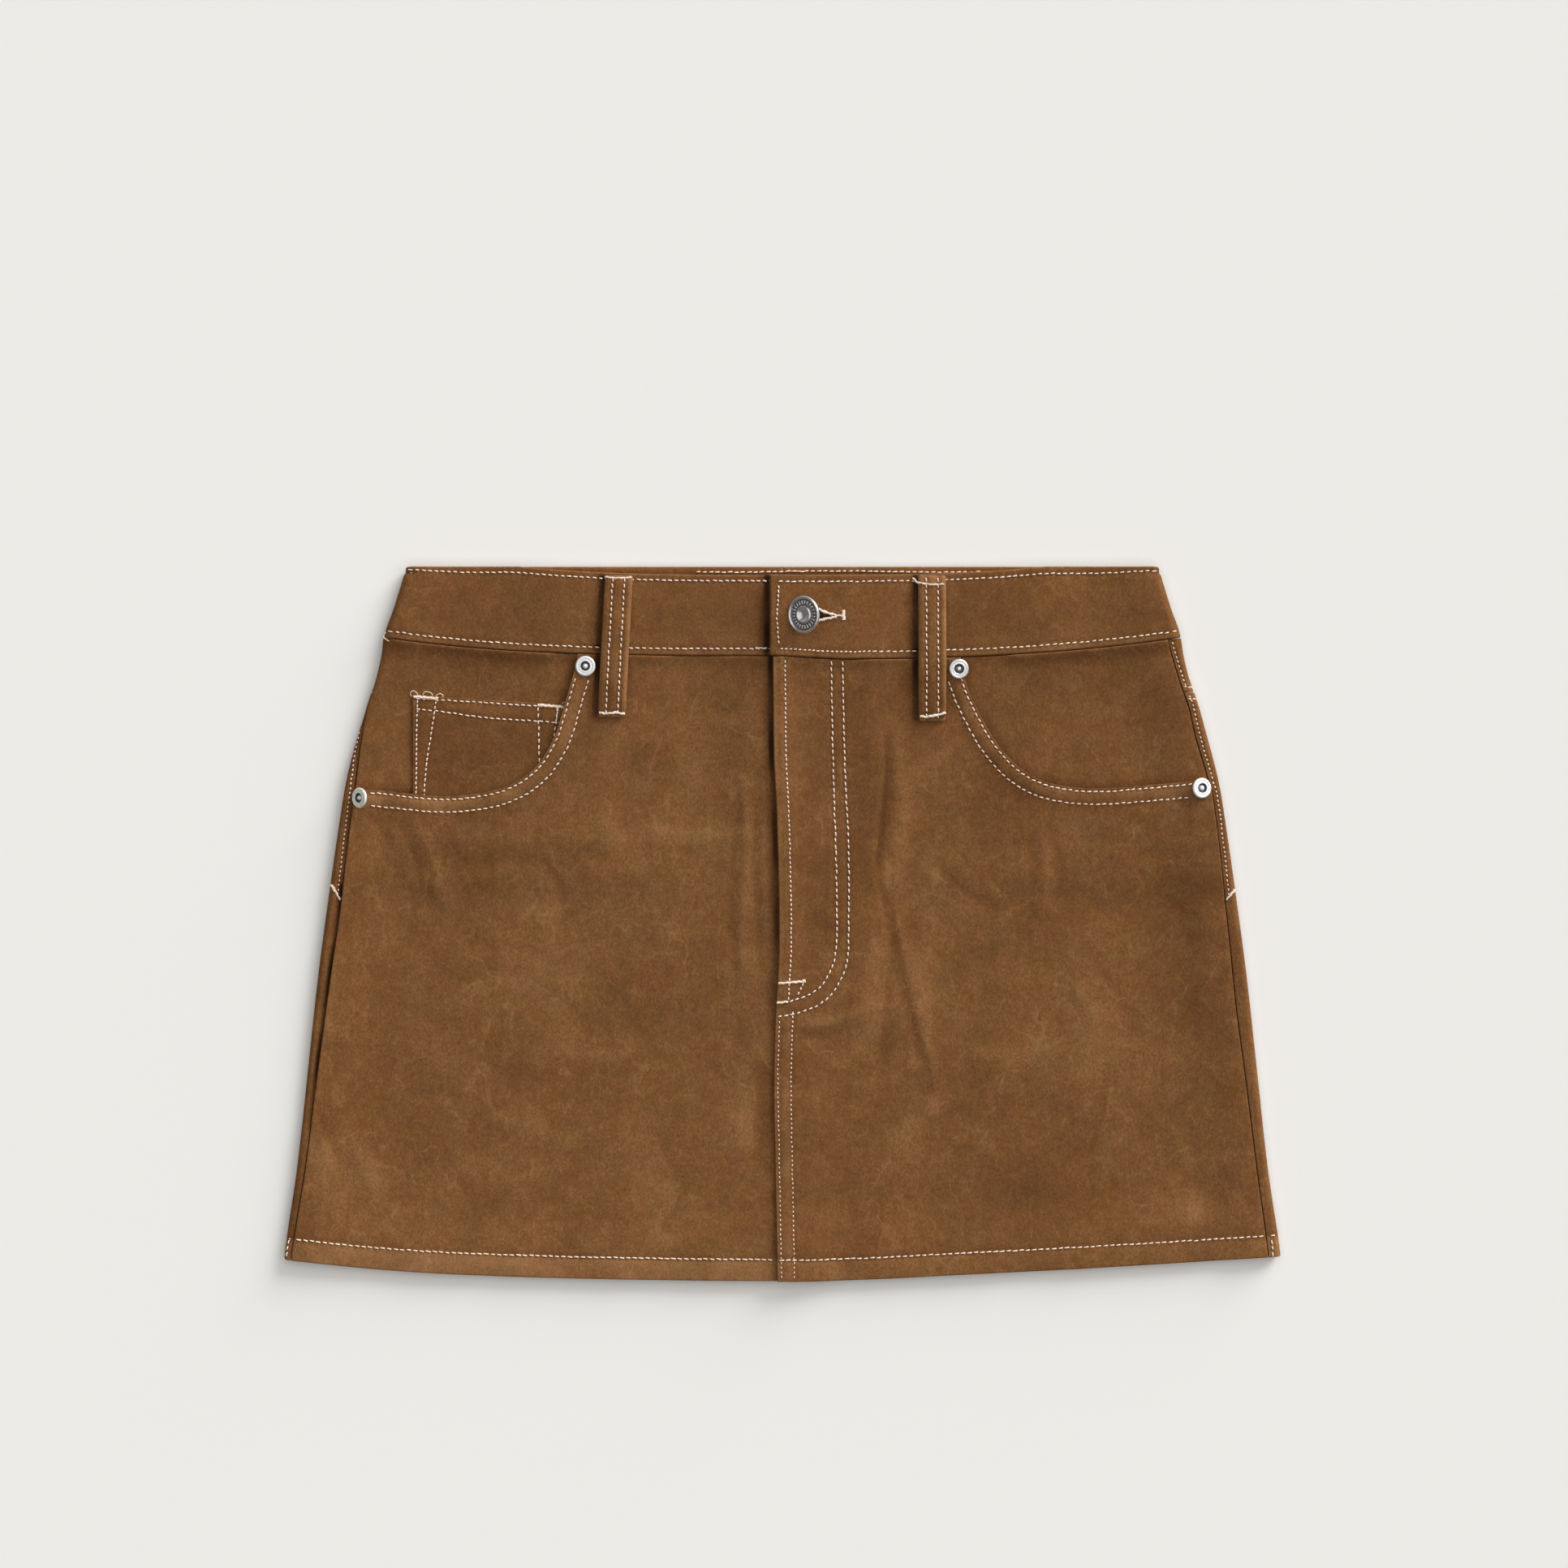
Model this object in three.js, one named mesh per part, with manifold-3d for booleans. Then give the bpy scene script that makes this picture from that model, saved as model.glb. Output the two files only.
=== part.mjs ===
// Suede mini skirt lying flat on its back, front up, as its maker cuts and sews it.
// Millimetres. X runs across the skirt, Y from hem to waist, Z up from the surface it lies on.
// Right and left are the wearer's: the right half is at -X and the left half at +X.

import * as THREE from 'three';
import { mergeVertices } from 'three/addons/utils/BufferGeometryUtils.js';
import Module from 'manifold-3d';

const wasm = await Module();
wasm.setup();

// Cloth and how its plies stack
const PLY = 1.3;
const BAND_PLY = 3.0;
const LOOP_PLY = 2.4;
const BACK_LOOP_PLY = 1.3;
const HEM_TURNING_PLY = 1.0;
const SEAM_GAP = 0.3;
const LAYER = PLY + SEAM_GAP;
const BAND_LAYER = BAND_PLY + SEAM_GAP;
const CLOTH_FOLD_RADIUS = 2.4;
const BAND_FOLD_RADIUS = 2.6;
const FOLD_RUN = 36;

// Lengths down the skirt
const WAIST_Y = 176.2;
const FRONT_DIP = 4.2;
const FRONT_DIP_HALF = 130;
const HEM_ALLOWANCE = 11.5;
const WAIST_LIFT = 1.0;
const WAIST_LIFT_RUN = 30;

// Fly
const FLY_BOTTOM_Y = -38;
const FLY_EASE = 24;
const SHIELD_TO_X = 34;
const UNDERLAP_X = 32;
const OVERLAP_X = -6.2;
const BAND_BOTTOM = {
  sideX: 196,
  tipRun: 38,
  right: { centre: 132.2, side: 141.2, power: 3.2, tip: 0 },
  left: { centre: 130.5, side: 141.2, power: 2.7, tip: 1.7 },
};
const ZIP = { from: 4, to: 24, bottomMargin: 6 };
const SHIELD_FROM_X = -8;

// Pocket facings and coin pocket
const FACING_BOTTOM_Y = 36;
const FACING_INNER = { right: 75, left: 60 };
const FACING_GAP = 0.45;
const COIN = { outer: 182.4, inner: 98, topOuter: 112.8, topInner: 107.6, bottom: 50 };

// Panels: share of the outer edge that the pocket mouth takes, and the back yoke seam
const CORNER_B = 0.3;
const YOKE_SIDE_Y = 114.6;
const YOKE_CENTRE_Y = 94;
const YOKE_RUN = 190;

// Where the cloth starts to rise over what lies beneath it, and the run that the rise takes
const OVER_BACK_LOOPS = { halfWidth: 110, acrossRun: 60, fromY: 50, upRun: 48 };
const OVER_HEM = { margin: 1, run: 25 };
const OVER_SHIELD = { from: -36, run: 24 };
const OVER_ZIP = { from: 35, run: 30 };
const OVER_LAP = { from: 12, run: 20 };
const OVER_UNDERLAP = { from: UNDERLAP_X + 2, run: 34 };
const OVER_FACING = { margin: 28, run: 20 };
const OVER_COIN = { margin: 22, run: 14, outerMargin: 6, outerRun: 12, topMargin: 10 };

// Belt loops
const LOOP_WIDTH = 13.8;
const LOOP_BULGE = 1.4;
const LOOP_BOW = 0.7;
const LOOP_STEPS = 16;
const LOOP_DROP_RUN = 14;
const BACK_LOOP_X = 95;
const BACK_LOOP_TOP_Y = 174;
const BACK_LOOP_LENGTH = 70;

// Metal
const BUTTON = { x: 10, y: 151.9, radius: 9.2, tilt: 36, lean: 6.6, rim: 1.7, shank: 2.2 };
const TRIM_SIZE = 40;
const RIVET_RADIUS = 5.1;

// Buttonhole: a slit that the tipped shank holds open as a drop
const HOLE = {
  radius: 3.0, from: 14.9, to: 17.1, y: 152.4, tipX: 26, tipY: 151.5, narrowX: 22, lowZ: 7.3, depth: 12,
};

// Half width of the skirt, outside, at each height
const OUTLINE = [
  { at: 176.2, value: 185.4 },
  { at: 155.4, value: 191.8 },
  { at: 143.4, value: 196.1 },
  { at: 131.4, value: 198.2 },
  { at: 119.4, value: 201.2 },
  { at: 107.4, value: 205.4 },
  { at: 95.4, value: 208.8 },
  { at: 71.4, value: 215.0 },
  { at: 47.4, value: 219.0 },
  { at: 11.4, value: 224.2 },
  { at: -24.6, value: 229.0 },
  { at: -72.6, value: 234.3 },
  { at: -120.6, value: 239.6 },
  { at: -161.4, value: 245.6 },
  { at: -170, value: 245.8 },
];

// Height of the hem edge across the skirt
const HEM = [
  { at: -246, value: -165.6 },
  { at: -197.6, value: -170.6 },
  { at: -149.6, value: -173.4 },
  { at: -77.6, value: -175.4 },
  { at: 6.4, value: -176.2 },
  { at: 42.4, value: -175.4 },
  { at: 90.4, value: -173.0 },
  { at: 138.4, value: -170.6 },
  { at: 186.4, value: -167.8 },
  { at: 246, value: -164.0 },
];

// How far the side seam lies inside the outline, on the upper side of the folded skirt
const SIDE_SEAM = {
  right: [
    { at: 141, value: 0.2 },
    { at: 117, value: 0.4 },
    { at: 100.6, value: 1.4 },
    { at: 89.4, value: 2.6 },
    { at: 69, value: 5.0 },
    { at: 39.4, value: 6.0 },
    { at: -0.6, value: 6.8 },
    { at: -73, value: 5.2 },
    { at: -114, value: 4.4 },
    { at: -168, value: 3.7 },
  ],
  left: [
    { at: 141, value: 7.0 },
    { at: 124.2, value: 5.4 },
    { at: 107.4, value: 5.2 },
    { at: 92, value: 6.0 },
    { at: 75, value: 5.4 },
    { at: 62.2, value: 4.6 },
    { at: 9, value: 6.0 },
    { at: -38.6, value: 7.2 },
    { at: -73, value: 6.4 },
    { at: -121.4, value: 5.7 },
    { at: -168, value: 6.4 },
  ],
};

// Mouth of each front pocket, from the waist seam to the side seam: distance from the centre, height
const POCKET_MOUTH = {
  right: [
    { out: 100.8, y: 133.2 },
    { out: 102.3, y: 125.5 },
    { out: 107.4, y: 108 },
    { out: 112.6, y: 91.5 },
    { out: 122.8, y: 76.2 },
    { out: 139.6, y: 66.6 },
    { out: 165.6, y: 63 },
    { out: 195.2, y: 65.5 },
  ],
  left: [
    { out: 87.8, y: 131.2 },
    { out: 90, y: 119.8 },
    { out: 95.6, y: 106.5 },
    { out: 105.8, y: 88.8 },
    { out: 118.2, y: 76 },
    { out: 133, y: 69.2 },
    { out: 155, y: 66.8 },
    { out: 186, y: 69 },
  ],
};
const POCKET_CORNER_Y = { right: 66.6, left: 71.2 };

// Folded edge of the overlapping front, from the waist seam down to the hem
const FLY_EDGE = [
  { at: 131, value: -4.6 },
  { at: 81.4, value: -4.1 },
  { at: 55.8, value: -2.8 },
  { at: -7.8, value: -1.6 },
  { at: -45.8, value: -3.3 },
  { at: -76.6, value: -4.2 },
  { at: -114.2, value: -3.6 },
  { at: -176, value: -2.4 },
];

// Cut edge of the other front, which lies under the fly edge
const UNDER_EDGE = [
  { at: 132, value: 3 },
  { at: -30, value: 3.4 },
  { at: -60, value: 8 },
  { at: -176, value: 8 },
];

// Colours
const SUEDE = { color: 0x7c5432, roughness: 0.95, metalness: 0 };
const SUEDE_DARK = { color: 0x6d482a, roughness: 0.95, metalness: 0 };
const NICKEL = { color: 0xb9b9b6, roughness: 0.35, metalness: 1 };
const ZIP_TAPE = { color: 0x4a3524, roughness: 0.85, metalness: 0 };

const SIDE = { right: -1, left: 1 };

// Small helpers for smooth values
const clamp01 = (t) => Math.min(1, Math.max(0, t));
const lerp = (a, b, t) => a + (b - a) * t;

function ease(t) {
  const s = clamp01(t);
  return s * s * (3 - 2 * s);
}

// Smooth curve through a table whose rows hold a position and a value
function along(table, at) {
  const rows = [...table].sort((p, q) => p.at - q.at);
  const x = clamp01((at - rows[0].at) / (rows.at(-1).at - rows[0].at));
  const place = rows[0].at + x * (rows.at(-1).at - rows[0].at);
  let i = 0;
  while (i < rows.length - 2 && place > rows[i + 1].at) i += 1;
  const slope = (k) => {
    const a = rows[Math.max(0, k - 1)];
    const b = rows[Math.min(rows.length - 1, k + 1)];
    return (b.value - a.value) / (b.at - a.at);
  };
  const step = rows[i + 1].at - rows[i].at;
  const t = (place - rows[i].at) / step;
  const t2 = t * t;
  const t3 = t2 * t;
  return (
    rows[i].value * (2 * t3 - 3 * t2 + 1) +
    slope(i) * step * (t3 - 2 * t2 + t) +
    rows[i + 1].value * (3 * t2 - 2 * t3) +
    slope(i + 1) * step * (t3 - t2)
  );
}

const halfWidth = (y) => along(OUTLINE, y);
const hemY = (x) => along(HEM, x);

// Lower edge of the waistband; the overlapping half hangs a little lower, but for its tip
function bandBottomY(sideName, x) {
  const { centre, side, power, tip } = BAND_BOTTOM[sideName];
  const atTip = tip * (1 - ease((x - OVERLAP_X) / BAND_BOTTOM.tipRun));
  return centre + atTip + (side - centre) * (Math.abs(x) / BAND_BOTTOM.sideX) ** power;
}

const frontWaistY = (x) => WAIST_Y - FRONT_DIP * (1 - clamp01(Math.abs(x) / FRONT_DIP_HALF) ** 3);

// The back belt loops lift what lies on them
function raise(x, y) {
  const over = OVER_BACK_LOOPS;
  const across = 1 - ease((Math.abs(x) - over.halfWidth) / over.acrossRun);
  return (BACK_LOOP_PLY + SEAM_GAP) * across * ease((y - over.fromY) / over.upRun);
}

// Two weights of cloth: one ply, and the waistband
const CLOTH = { ply: PLY, fold: CLOTH_FOLD_RADIUS };
const BAND = { ply: BAND_PLY, fold: BAND_FOLD_RADIUS };

const foldCentre = (cloth, y) => halfWidth(y) - cloth.fold - cloth.ply / 2;
const foldBackAt = (cloth, y) => foldCentre(cloth, y) + Math.PI * cloth.fold;
const centreBackAt = (cloth, y) => foldBackAt(cloth, y) + foldCentre(cloth, y);

// One on the turned hem, nothing well above it
const nearHem = (x, y) => 1 - ease((y - hemY(x) - HEM_ALLOWANCE - OVER_HEM.margin) / OVER_HEM.run);

// Middle of the upper layer: it lies on the lower one and rises to the side folds
function frontMiddle(cloth, x, y) {
  const inside = ease((foldCentre(cloth, y) - Math.abs(x)) / FOLD_RUN);
  const foldTop = cloth.ply / 2 + 2 * cloth.fold;
  let lying = cloth.ply * 1.5 + SEAM_GAP;
  if (cloth === CLOTH) {
    lying += WAIST_LIFT * (1 - ease((bandBottomY('right', x) - y) / WAIST_LIFT_RUN));
    lying += 2 * HEM_TURNING_PLY * nearHem(x, y);
  }
  return raise(x, y) + lerp(foldTop, lying, inside);
}

// A point of the cloth. out is the way along it from the centre front, over the fold and back.
function onCloth(cloth, side, out, y, lift) {
  const centre = foldCentre(cloth, y);
  const turn = (out - centre) / cloth.fold;
  if (turn <= 0) {
    const x = side * out;
    return new THREE.Vector3(x, y, frontMiddle(cloth, x, y) + lift);
  }
  if (turn < Math.PI) {
    const radius = cloth.fold + lift;
    const x = side * (centre + radius * Math.sin(turn));
    return new THREE.Vector3(x, y, cloth.ply / 2 + cloth.fold + radius * Math.cos(turn));
  }
  const x = side * (centre - (out - foldBackAt(cloth, y)));
  return new THREE.Vector3(x, y, raise(x, y) + cloth.ply / 2 - lift);
}

// Where the side seam lies along the cloth
function seamAt(sideName, y) {
  const inset = along(SIDE_SEAM[sideName], y);
  const outer = CLOTH.fold + CLOTH.ply / 2;
  if (inset >= outer) return halfWidth(y) - inset;
  return foldCentre(CLOTH, y) + CLOTH.fold * Math.asin(1 - inset / outer);
}

// What each layer lies on, as a rise above the layer beneath
const flyOn = (y) => ease((y - FLY_BOTTOM_Y + FLY_EASE) / FLY_EASE);

function facingUnder(sideName, x, y) {
  const { margin, run } = OVER_FACING;
  const across = ease((Math.abs(x) - FACING_INNER[sideName] + margin) / run);
  return LAYER * across * ease((y - FACING_BOTTOM_Y + margin) / run);
}

function coinUnder(x, y) {
  const { margin, run, outerMargin, outerRun, topMargin } = OVER_COIN;
  const inner = ease((-x - COIN.inner + margin) / run);
  const outer = 1 - ease((-x - COIN.outer - outerMargin) / outerRun);
  const low = ease((y - COIN.bottom + margin) / run);
  const high = 1 - ease((y - COIN.topInner - topMargin) / run);
  return LAYER * inner * outer * low * high;
}

function rightFrontLift(x, y) {
  const onShield = LAYER * ease((x - OVER_SHIELD.from) / OVER_SHIELD.run) * flyOn(y);
  return onShield + facingUnder('right', x, y) + coinUnder(x, y);
}

function leftFrontLift(x, y) {
  const onHem = HEM_TURNING_PLY * nearHem(x, y);
  const lap = (LAYER + onHem) * (1 - ease((x - OVER_LAP.from) / OVER_LAP.run));
  const fly = 2 * LAYER * (1 - ease((x - OVER_ZIP.from) / OVER_ZIP.run));
  return lerp(lap, fly, flyOn(y)) + facingUnder('left', x, y);
}

const overlapLift = (x) => BAND_LAYER * (1 - ease((x - OVER_UNDERLAP.from) / OVER_UNDERLAP.run));

// Closed wall over a grid of cloth points: rows of { out, y, lift, extra }
function wall(name, cloth, sideName, rows, look) {
  const side = SIDE[sideName];
  const count = rows[0].length;
  const positions = [];
  const half = cloth.ply / 2;
  for (const face of [1, -1]) {
    for (const row of rows) {
      for (const p of row) {
        const depth = face > 0 ? half : -half - (p.extra ?? 0);
        positions.push(...onCloth(cloth, side, p.out, p.y, p.lift + depth).toArray());
      }
    }
  }
  const under = rows.length * count;
  const index = [];
  const quad = (a, b, c, d) => index.push(a, b, c, a, c, d);
  for (let r = 0; r < rows.length - 1; r += 1) {
    for (let c = 0; c < count - 1; c += 1) {
      const a = r * count + c;
      quad(a, a + count, a + count + 1, a + 1);
      quad(under + a, under + a + 1, under + a + count + 1, under + a + count);
    }
  }
  const rim = [];
  for (let c = 0; c < count - 1; c += 1) rim.push(c);
  for (let r = 0; r < rows.length - 1; r += 1) rim.push(r * count + count - 1);
  for (let c = count - 1; c > 0; c -= 1) rim.push((rows.length - 1) * count + c);
  for (let r = rows.length - 1; r > 0; r -= 1) rim.push(r * count);
  rim.forEach((a, i) => {
    const b = rim[(i + 1) % rim.length];
    quad(a, b, under + b, under + a);
  });
  return solid(name, positions, index, look);
}

// Mesh from points and faces, turned so that its faces point out
function solid(name, positions, index, look) {
  let volume = 0;
  const v = (i) => new THREE.Vector3(...positions.slice(3 * i, 3 * i + 3));
  for (let i = 0; i < index.length; i += 3) {
    volume += v(index[i]).dot(v(index[i + 1]).cross(v(index[i + 2])));
  }
  if (volume < 0) {
    for (let i = 0; i < index.length; i += 3) [index[i], index[i + 1]] = [index[i + 1], index[i]];
  }
  const geometry = new THREE.BufferGeometry();
  geometry.setAttribute('position', new THREE.Float32BufferAttribute(positions, 3));
  geometry.setIndex(index);
  geometry.computeVertexNormals();
  return named(name, geometry, look);
}

function named(name, geometry, look) {
  const mesh = new THREE.Mesh(geometry, new THREE.MeshStandardMaterial(look));
  mesh.name = name;
  return mesh;
}

// Patch between four edges, each a function from 0 to 1 that gives { out, y }
function patch(top, bottom, inner, outer, across, down, finish) {
  const corner = [top(0), top(1), bottom(0), bottom(1)];
  return down.map((b) =>
    across.map((a) => {
      const at = (key) =>
        (1 - b) * top(a)[key] + b * bottom(a)[key] + (1 - a) * inner(b)[key] + a * outer(b)[key] -
        (1 - a) * (1 - b) * corner[0][key] - a * (1 - b) * corner[1][key] -
        (1 - a) * b * corner[2][key] - a * b * corner[3][key];
      const out = at('out');
      const y = at('y');
      return finish({ out, y, a, b });
    }),
  );
}

const steps = (count) => Array.from({ length: count + 1 }, (_, i) => i / count);

// Front panels, from the fly to the pocket mouth and the side seam
function mouthCurve(sideName, push) {
  const rows = POCKET_MOUTH[sideName];
  const y = POCKET_CORNER_Y[sideName];
  const points = rows.map((row) => new THREE.Vector2(row.out, row.y));
  points.push(new THREE.Vector2(seamAt(sideName, y) - push, y));
  return new THREE.SplineCurve(points);
}

function frontPanel(name, sideName, innerEdge, lift) {
  const side = SIDE[sideName];
  const mouth = mouthCurve(sideName, SEAM_GAP / 2);
  const cornerY = POCKET_CORNER_Y[sideName];
  const seamPoint = (y) => ({ out: seamAt(sideName, y) - SEAM_GAP / 2, y });
  const innerPoint = (y) => ({ out: side * along(innerEdge, y), y });
  const topY = (out) => bandBottomY(sideName, side * out) - SEAM_GAP;
  const start = innerPoint(topY(0)).out;
  const end = POCKET_MOUTH[sideName][0].out;
  const top = (a) => ({ out: lerp(start, end, a), y: topY(lerp(start, end, a)) });
  const hemIn = hemY(side * start);
  const hemOut = hemY(side * seamPoint(-165).out);
  const bottomStart = innerPoint(hemIn).out;
  const bottomEnd = seamPoint(hemOut).out;
  const bottom = (a) => {
    const out = lerp(bottomStart, bottomEnd, a);
    return { out, y: hemY(side * out) };
  };
  const inner = (b) => innerPoint(lerp(top(0).y, bottom(0).y, b));
  const outer = (b) => {
    if (b > CORNER_B) return seamPoint(lerp(cornerY, bottom(1).y, (b - CORNER_B) / (1 - CORNER_B)));
    const p = mouth.getPointAt(b / CORNER_B);
    return b === 0 ? top(1) : { out: p.x, y: p.y };
  };
  const hemB = 1 - HEM_ALLOWANCE / (top(0).y - bottom(0).y);
  const down = [...steps(22).filter((b) => b < hemB - 0.01), CORNER_B, hemB - 0.004, hemB, 1];
  down.sort((p, q) => p - q);
  const finish = ({ out, y, b }) => ({
    out,
    y,
    lift: lift(side * out, y),
    extra: b >= hemB ? HEM_TURNING_PLY : 0,
  });
  const rows = patch(top, bottom, inner, outer, steps(16), down, finish);
  return wall(name, CLOTH, sideName, rows, SUEDE);
}

// Hip piece behind each pocket mouth, sewn in at the waist and the side
function pocketFacing(name, sideName) {
  const side = SIDE[sideName];
  const innerOut = FACING_INNER[sideName];
  const seamPoint = (y) => ({ out: seamAt(sideName, y) - FACING_GAP, y });
  const topY = (out) => bandBottomY(sideName, side * out) - SEAM_GAP;
  const outerTop = seamPoint(topY(seamAt(sideName, 140)));
  const outerBottom = seamPoint(FACING_BOTTOM_Y);
  const top = (a) => {
    const out = lerp(innerOut, outerTop.out, a);
    return { out, y: topY(Math.min(out, BAND_BOTTOM.sideX)) };
  };
  const bottom = (a) => ({ out: lerp(innerOut, outerBottom.out, a), y: FACING_BOTTOM_Y });
  const inner = (b) => ({ out: innerOut, y: lerp(top(0).y, FACING_BOTTOM_Y, b) });
  const outer = (b) => seamPoint(lerp(top(1).y, FACING_BOTTOM_Y, b));
  const across = [0, 0.12, 0.24, 0.36, 0.48, 0.6, 0.7, 0.78, 0.85, 0.91, 0.95, 0.965, 0.98, 0.99, 1];
  const rows = patch(top, bottom, inner, outer, across, steps(10), ({ out, y }) => ({ out, y, lift: 0 }));
  return wall(name, CLOTH, sideName, rows, SUEDE);
}

function coinPocket() {
  const topY = (out) => lerp(COIN.topInner, COIN.topOuter, (out - COIN.inner) / (COIN.outer - COIN.inner));
  const rows = steps(7).map((b) =>
    steps(10).map((a) => {
      const out = lerp(COIN.inner, COIN.outer, a);
      return { out, y: lerp(topY(out), COIN.bottom, b), lift: LAYER };
    }),
  );
  return wall('coin_pocket', CLOTH, 'right', rows, SUEDE);
}

// Rows of a piece that runs from a front edge over the side fold to the centre back
function wrapRows(cloth, sideName, edges, down, flat) {
  const side = SIDE[sideName];
  return down.map((b) => {
    const front = steps(flat.front).slice(0, -1).map((t) => ({ part: 'front', t }));
    const turn = steps(flat.turn).slice(0, -1).map((t) => ({ part: 'turn', t }));
    const back = steps(flat.back).map((t) => ({ part: 'back', t }));
    return [...front, ...turn, ...back].map(({ part, t }) => {
      let y = lerp(edges.topY(200, false), edges.bottomY(200, false), b);
      let out = 0;
      for (let pass = 0; pass < 4; pass += 1) {
        const begin = edges.frontOut(y);
        const tip = Math.max(begin, foldCentre(cloth, y));
        const behind = foldBackAt(cloth, y);
        if (part === 'front') out = lerp(begin, tip, t);
        if (part === 'turn') out = lerp(tip, behind, t);
        if (part === 'back') out = lerp(behind, centreBackAt(cloth, y) - SEAM_GAP / 2, t);
        const point = onCloth(cloth, side, out, y, 0);
        const isBack = part !== 'front';
        y = lerp(edges.topY(point.x, isBack), edges.bottomY(point.x, isBack), b);
      }
      const x = onCloth(cloth, side, out, y, 0).x;
      const lift = part === 'front' ? edges.lift(x) : 0;
      return { out, y, lift, extra: edges.extra(b) };
    });
  });
}

// Yoke seam on the back: level round the side, then down to the centre back
const yokeY = (x) => lerp(YOKE_CENTRE_Y, YOKE_SIDE_Y, clamp01(Math.abs(x) / YOKE_RUN));

function backYoke(name, sideName) {
  const edges = {
    topY: (x) => bandBottomY('right', Math.min(BAND_BOTTOM.sideX, Math.abs(x))) - SEAM_GAP,
    bottomY: (x) => yokeY(x),
    frontOut: (y) => seamAt(sideName, y) + SEAM_GAP / 2,
    lift: () => 0,
    extra: () => 0,
  };
  const rows = wrapRows(CLOTH, sideName, edges, steps(4), { front: 1, turn: 8, back: 8 });
  return wall(name, CLOTH, sideName, rows, SUEDE);
}

function backPanel(name, sideName) {
  const hemB = 1 - HEM_ALLOWANCE / (YOKE_SIDE_Y - hemY(0));
  const down = [...steps(18).filter((b) => b < hemB - 0.01), hemB - 0.004, hemB, 1];
  const edges = {
    topY: (x) => yokeY(x) - SEAM_GAP,
    bottomY: (x) => hemY(x),
    frontOut: (y) => seamAt(sideName, y) + SEAM_GAP / 2,
    lift: () => 0,
    extra: (b) => (b >= hemB ? HEM_TURNING_PLY : 0),
  };
  const rows = wrapRows(CLOTH, sideName, edges, down, { front: 1, turn: 8, back: 10 });
  return wall(name, CLOTH, sideName, rows, SUEDE);
}

function waistband(name, sideName, frontEnd, lift) {
  const edges = {
    topY: (x, isBack) => (isBack ? WAIST_Y : frontWaistY(x)),
    bottomY: (x, isBack) => bandBottomY(isBack ? 'right' : sideName, x),
    frontOut: () => SIDE[sideName] * frontEnd,
    lift,
    extra: () => 0,
  };
  const rows = wrapRows(BAND, sideName, edges, steps(4), { front: 22, turn: 9, back: 6 });
  return wall(name, BAND, sideName, rows, SUEDE);
}

function buttonhole() {
  const shape = new THREE.Shape();
  const open = Math.PI / 3;
  const edgeX = HOLE.to + HOLE.radius * Math.cos(open);
  const edgeY = HOLE.radius * Math.sin(open);
  shape.moveTo(HOLE.tipX, HOLE.tipY);
  shape.quadraticCurveTo(HOLE.narrowX, HOLE.tipY + 1, edgeX, HOLE.y + edgeY);
  shape.absarc(HOLE.to, HOLE.y, HOLE.radius, open, Math.PI / 2, false);
  shape.absarc(HOLE.from, HOLE.y, HOLE.radius, Math.PI / 2, (3 * Math.PI) / 2, false);
  shape.absarc(HOLE.to, HOLE.y, HOLE.radius, (3 * Math.PI) / 2, 2 * Math.PI - open, false);
  shape.quadraticCurveTo(HOLE.narrowX, HOLE.tipY - 1, HOLE.tipX, HOLE.tipY);
  const geometry = new THREE.ExtrudeGeometry(shape, { depth: HOLE.depth, bevelEnabled: false, curveSegments: 6 });
  geometry.translate(0, 0, HOLE.lowZ);
  return geometry;
}

function toManifold(geometry) {
  const bare = geometry.clone();
  for (const key of Object.keys(bare.attributes)) if (key !== 'position') bare.deleteAttribute(key);
  const merged = mergeVertices(bare, 1e-4);
  return new wasm.Manifold(
    new wasm.Mesh({
      numProp: 3,
      vertProperties: new Float32Array(merged.attributes.position.array),
      triVerts: new Uint32Array(merged.index.array),
    }),
  );
}

function fromManifold(body) {
  const mesh = body.getMesh();
  const geometry = new THREE.BufferGeometry();
  geometry.setAttribute('position', new THREE.BufferAttribute(mesh.vertProperties, 3));
  geometry.setIndex(new THREE.BufferAttribute(mesh.triVerts, 1));
  geometry.computeVertexNormals();
  return geometry;
}

function buttonedWaistband() {
  const band = waistband('waistband_left', 'left', OVERLAP_X, overlapLift);
  band.geometry = fromManifold(toManifold(band.geometry).subtract(toManifold(buttonhole())));
  return band;
}

// Fly shield and the closed zip, both behind the overlapping front
function flyStrip(name, from, to, bottomY, lift, look) {
  const topY = (out) => bandBottomY('right', out) - SEAM_GAP;
  const rows = steps(12).map((b) =>
    steps(3).map((a) => {
      const out = lerp(from, to, a);
      return { out, y: lerp(topY(out), bottomY, b), lift };
    }),
  );
  return wall(name, CLOTH, 'left', rows, look);
}

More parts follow.
